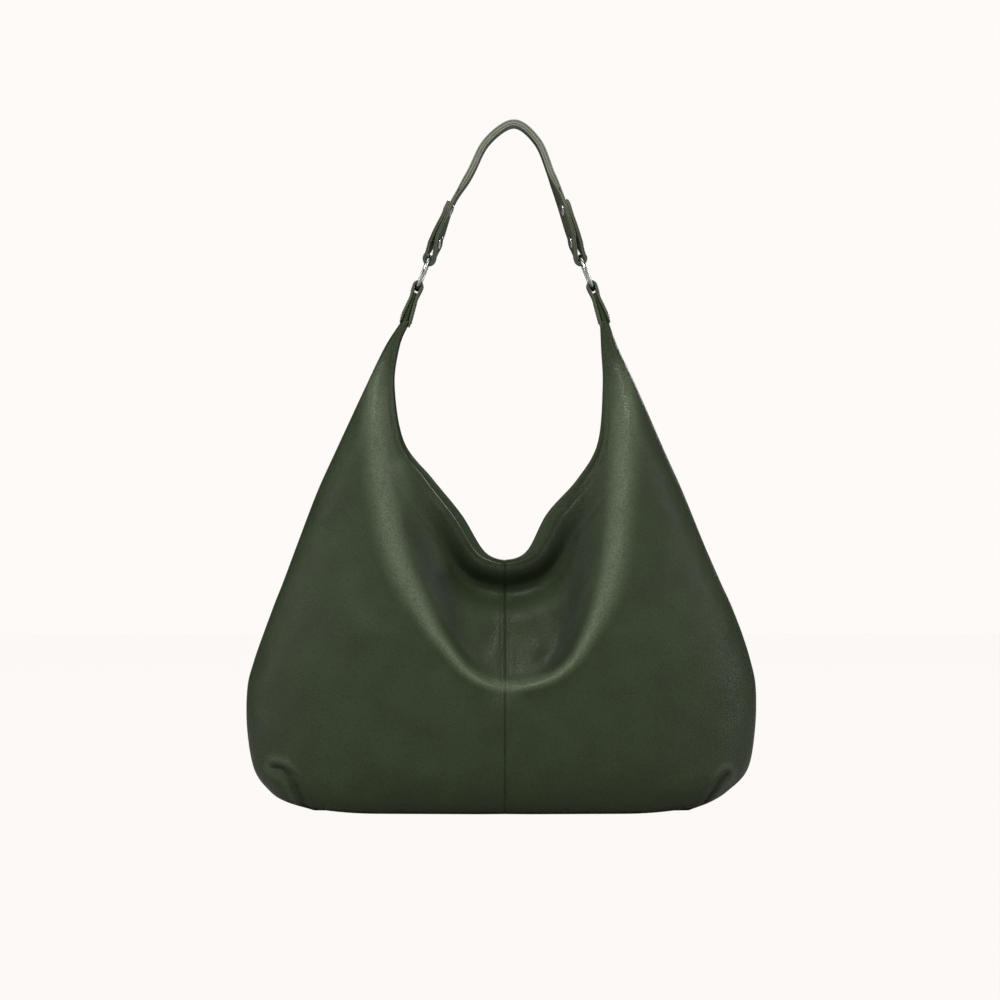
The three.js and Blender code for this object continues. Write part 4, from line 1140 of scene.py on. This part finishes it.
def dome(name, place, way, material, stem=0.0):
    """A domed head whose flat side lies at place, with a stem behind it."""
    turn = Vector(way).to_track_quat("Z", "Y").to_euler()
    bpy.ops.mesh.primitive_uv_sphere_add(segments=40, ring_count=24, radius=RIVET_HEAD * MM)
    head = bpy.context.active_object
    bpy.ops.object.mode_set(mode="EDIT")
    bpy.ops.mesh.select_all(action="DESELECT")
    bpy.ops.object.mode_set(mode="OBJECT")
    for vertex in head.data.vertices:
        vertex.select = vertex.co.z < -0.0001
    bpy.ops.object.mode_set(mode="EDIT")
    bpy.ops.mesh.delete(type="VERT")
    bpy.ops.mesh.select_all(action="DESELECT")
    bpy.ops.mesh.select_non_manifold()
    bpy.ops.mesh.extrude_region_move(TRANSFORM_OT_translate={"value": (0, 0, -0.0012)})
    bpy.ops.mesh.edge_face_add()
    bpy.ops.mesh.select_all(action="SELECT")
    bpy.ops.transform.resize(value=(1, 1, 0.2), center_override=(0, 0, 0))
    bpy.ops.mesh.normals_make_consistent(inside=False)
    bpy.ops.object.mode_set(mode="OBJECT")
    pieces = [head]
    if stem:
        bpy.ops.mesh.primitive_cylinder_add(vertices=24, radius=1.5 * MM, depth=stem * MM,
                                            location=(0, 0, -stem / 2 * MM - 0.0003))
        pieces.append(bpy.context.active_object)
    whole = joined(name, pieces)
    whole.rotation_euler = turn
    whole.location = [c * MM for c in place]
    picked([whole])
    bpy.ops.object.transform_apply(location=True, rotation=True, scale=True)
    bpy.ops.object.shade_smooth_by_angle(angle=math.radians(40))
    whole.data.materials.clear()
    whole.data.materials.append(material)
    return whole


for end in ("left", "right"):
    for level, along in (("lower", 13), ("upper", 41)):
        seat = loop_offset(along) + HALF_STRAP + 0.05
        x, z = leg_point(end, 0, along)
        pivot, across, up, angle = turned_at(x, z, np.array([0.0, 1.0]))
        way = np.array([across[0] * math.cos(angle), math.sin(angle), across[1] * math.cos(angle)])
        outward = way * (-1 if end == "left" else 1)
        middle = np.array([pivot[0], 0, pivot[1]])
        post = dome(f"rivet_{end}_{level}_post", middle + outward * seat, outward, nickel, 2 * seat - 0.2)
        cap = dome(f"rivet_{end}_{level}_cap", middle - outward * seat, -outward, nickel)
        for piece, kind in ((post, "post"), (cap, "cap")):
            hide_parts(f"rivet_{kind}_{end}_{level}")
            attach(piece, "strap")

# ---- Topstitching of the panels ----
# Waxed thread in the leather's own green: a row on each side of both centre seams, and one just
# below the rim that also holds the facings.
bpy.context.view_layer.update()
PANEL_STITCH = (2.4, 1.75, 0.3, dark_thread)  # from one to the next, length, radius, thread
for face in ("front", "back"):
    trees = {}
    for side in (-1, 1):
        mesh = panels[face, side].data
        corners = [v.co[:] for v in mesh.vertices]
        trees[side] = BVHTree.FromPolygons(corners, [p.vertices[:] for p in mesh.polygons])
    out = -1 if face == "front" else 1

    def on_skin(side, x, z):
        start = Vector((x * MM, out * 0.5, z * MM))
        found, normal, _, _ = trees[side].ray_cast(start, Vector((0, -out, 0)))
        if found is None:
            return None, None
        if normal.y * out < 0:
            normal = -normal
        return np.array(found) / MM, np.array(normal)

    def row_of(name, runs, pitch, length, radius, material):
        centres, ways, normals = [], [], []
        for side, line in runs:
            samples = [on_skin(side, x, z) for x, z in line]
            kept = [(a, b) for a, b in samples if a is not None]
            points, heading = spaced([a for a, _ in kept], pitch)
            places = np.array([a for a, _ in kept])
            for point, direction in zip(points, heading):
                centres.append(point)
                ways.append(direction)
                normals.append(kept[int(np.argmin(np.linalg.norm(places - point, axis=1)))][1])
        return grains(name, centres, ways, normals, length, radius, material)

    runs = [(side, [(side * SEAM_STITCH, z) for z in np.linspace(8, 202.5, 260)]) for side in (-1, 1)]
    sewn = row_of(f"{face}_seam_stitches", runs, *PANEL_STITCH)
    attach(sewn, "bag")
    runs = []
    for side in (-1, 1):
        line = edge_inner(face, side, np.linspace(RIM_ROW, 15.3, 260))[:, [0, 2]]
        way = np.gradient(line, axis=0)
        way /= np.linalg.norm(way, axis=1, keepdims=True)
        low = line + RIM_STITCH * np.stack([way[:, 1], -way[:, 0]], 1)
        low = low[low[:, 0] > 1.2]
        runs.append((side, low * (side, 1)))
    sewn = row_of(f"{face}_rim_stitches", runs, *PANEL_STITCH)
    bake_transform(sewn)

# ---- Floor, light and camera ----
# A pale floor and a pale world, a soft key from above the front, a fill that leaves no sheen, a
# light above, a strip and a thin edge light on each side, and one behind for the back.
WHITE = colour("fefaf7")
floor_look, paper, matt, _ = blank("pale_paper")
matt.inputs["Base Color"].default_value = colour("b4b1ad")
matt.inputs["Roughness"].default_value = 0.9
glow = node(paper, "ShaderNodeEmission", {"Color": WHITE, "Strength": 1.0})
direct = node(paper, "ShaderNodeLightPath").outputs["Is Camera Ray"]
share = node(paper, "ShaderNodeMath", {0: direct, 1: 0.985}, operation="MULTIPLY").outputs[0]
both = node(paper, "ShaderNodeMixShader", {0: share, 1: matt.outputs[0], 2: glow.outputs[0]})
paper.links.new(both.outputs[0], paper.nodes["Material Output"].inputs["Surface"])
bpy.ops.mesh.primitive_plane_add(size=8, location=(0, 0, 0))
floor = bpy.context.active_object
floor.name = "floor"
floor.data.materials.append(floor_look)

world = bpy.data.worlds.new("studio")
bpy.context.scene.world = world
world.use_nodes = True
sky = world.node_tree
seen = node(sky, "ShaderNodeBackground", {"Color": WHITE, "Strength": 1.0})
lit = node(sky, "ShaderNodeBackground", {"Color": WHITE, "Strength": 0.06})
ray = node(sky, "ShaderNodeLightPath").outputs["Is Camera Ray"]
both = node(sky, "ShaderNodeMixShader", {0: ray, 1: lit.outputs[0], 2: seen.outputs[0]})
sky.links.new(both.outputs[0], sky.nodes["World Output"].inputs["Surface"])


def area_light(name, place, aim, size, power):
    data = bpy.data.lights.new(name, "AREA")
    data.shape = "RECTANGLE"
    data.size, data.size_y = size
    data.energy = power
    obj = bpy.data.objects.new(name, data)
    obj.location = place
    obj.rotation_euler = (Vector(aim) - Vector(place)).to_track_quat("-Z", "Y").to_euler()
    bpy.context.scene.collection.objects.link(obj)
    return obj


area_light("key", (-0.35, -1.35, 1.7), (0, 0, 0.2), (0.6, 0.4), 19)
front = area_light("front", (-0.3, -2.4, 0.62), (0, 0, 0.2), (0.8, 0.8), 24)
front.visible_glossy = False  # a polarised fill: it lights the dye and leaves no sheen
area_light("top", (0.05, 0.1, 2.0), (0, 0, 0.2), (1.2, 0.9), 5)
area_light("left_strip", (-1.6, -0.25, 0.7), (0, 0, 0.22), (0.3, 1.5), 7)
area_light("right_strip", (1.6, -0.35, 0.7), (0, 0, 0.22), (0.35, 1.5), 9)
area_light("left_edge", (-1.35, -1.0, 0.5), (0, 0, 0.22), (0.14, 1.2), 1)
area_light("right_edge", (1.3, -1.1, 0.5), (0, 0, 0.22), (0.14, 1.2), 1)
area_light("back", (0.5, 2.3, 1.2), (0, 0, 0.2), (1.2, 0.9), 30)

camera_data = bpy.data.cameras.new("camera")
camera_data.sensor_width = 36
camera_data.lens = 130.6  # millimetres
camera = bpy.data.objects.new("camera", camera_data)
camera.location = (-0.0041, -3.0, 0.2572)
camera.rotation_euler = (math.radians(90), 0, 0)
bpy.context.scene.collection.objects.link(camera)
bpy.context.scene.camera = camera
bpy.context.scene.view_settings.view_transform = "Standard"
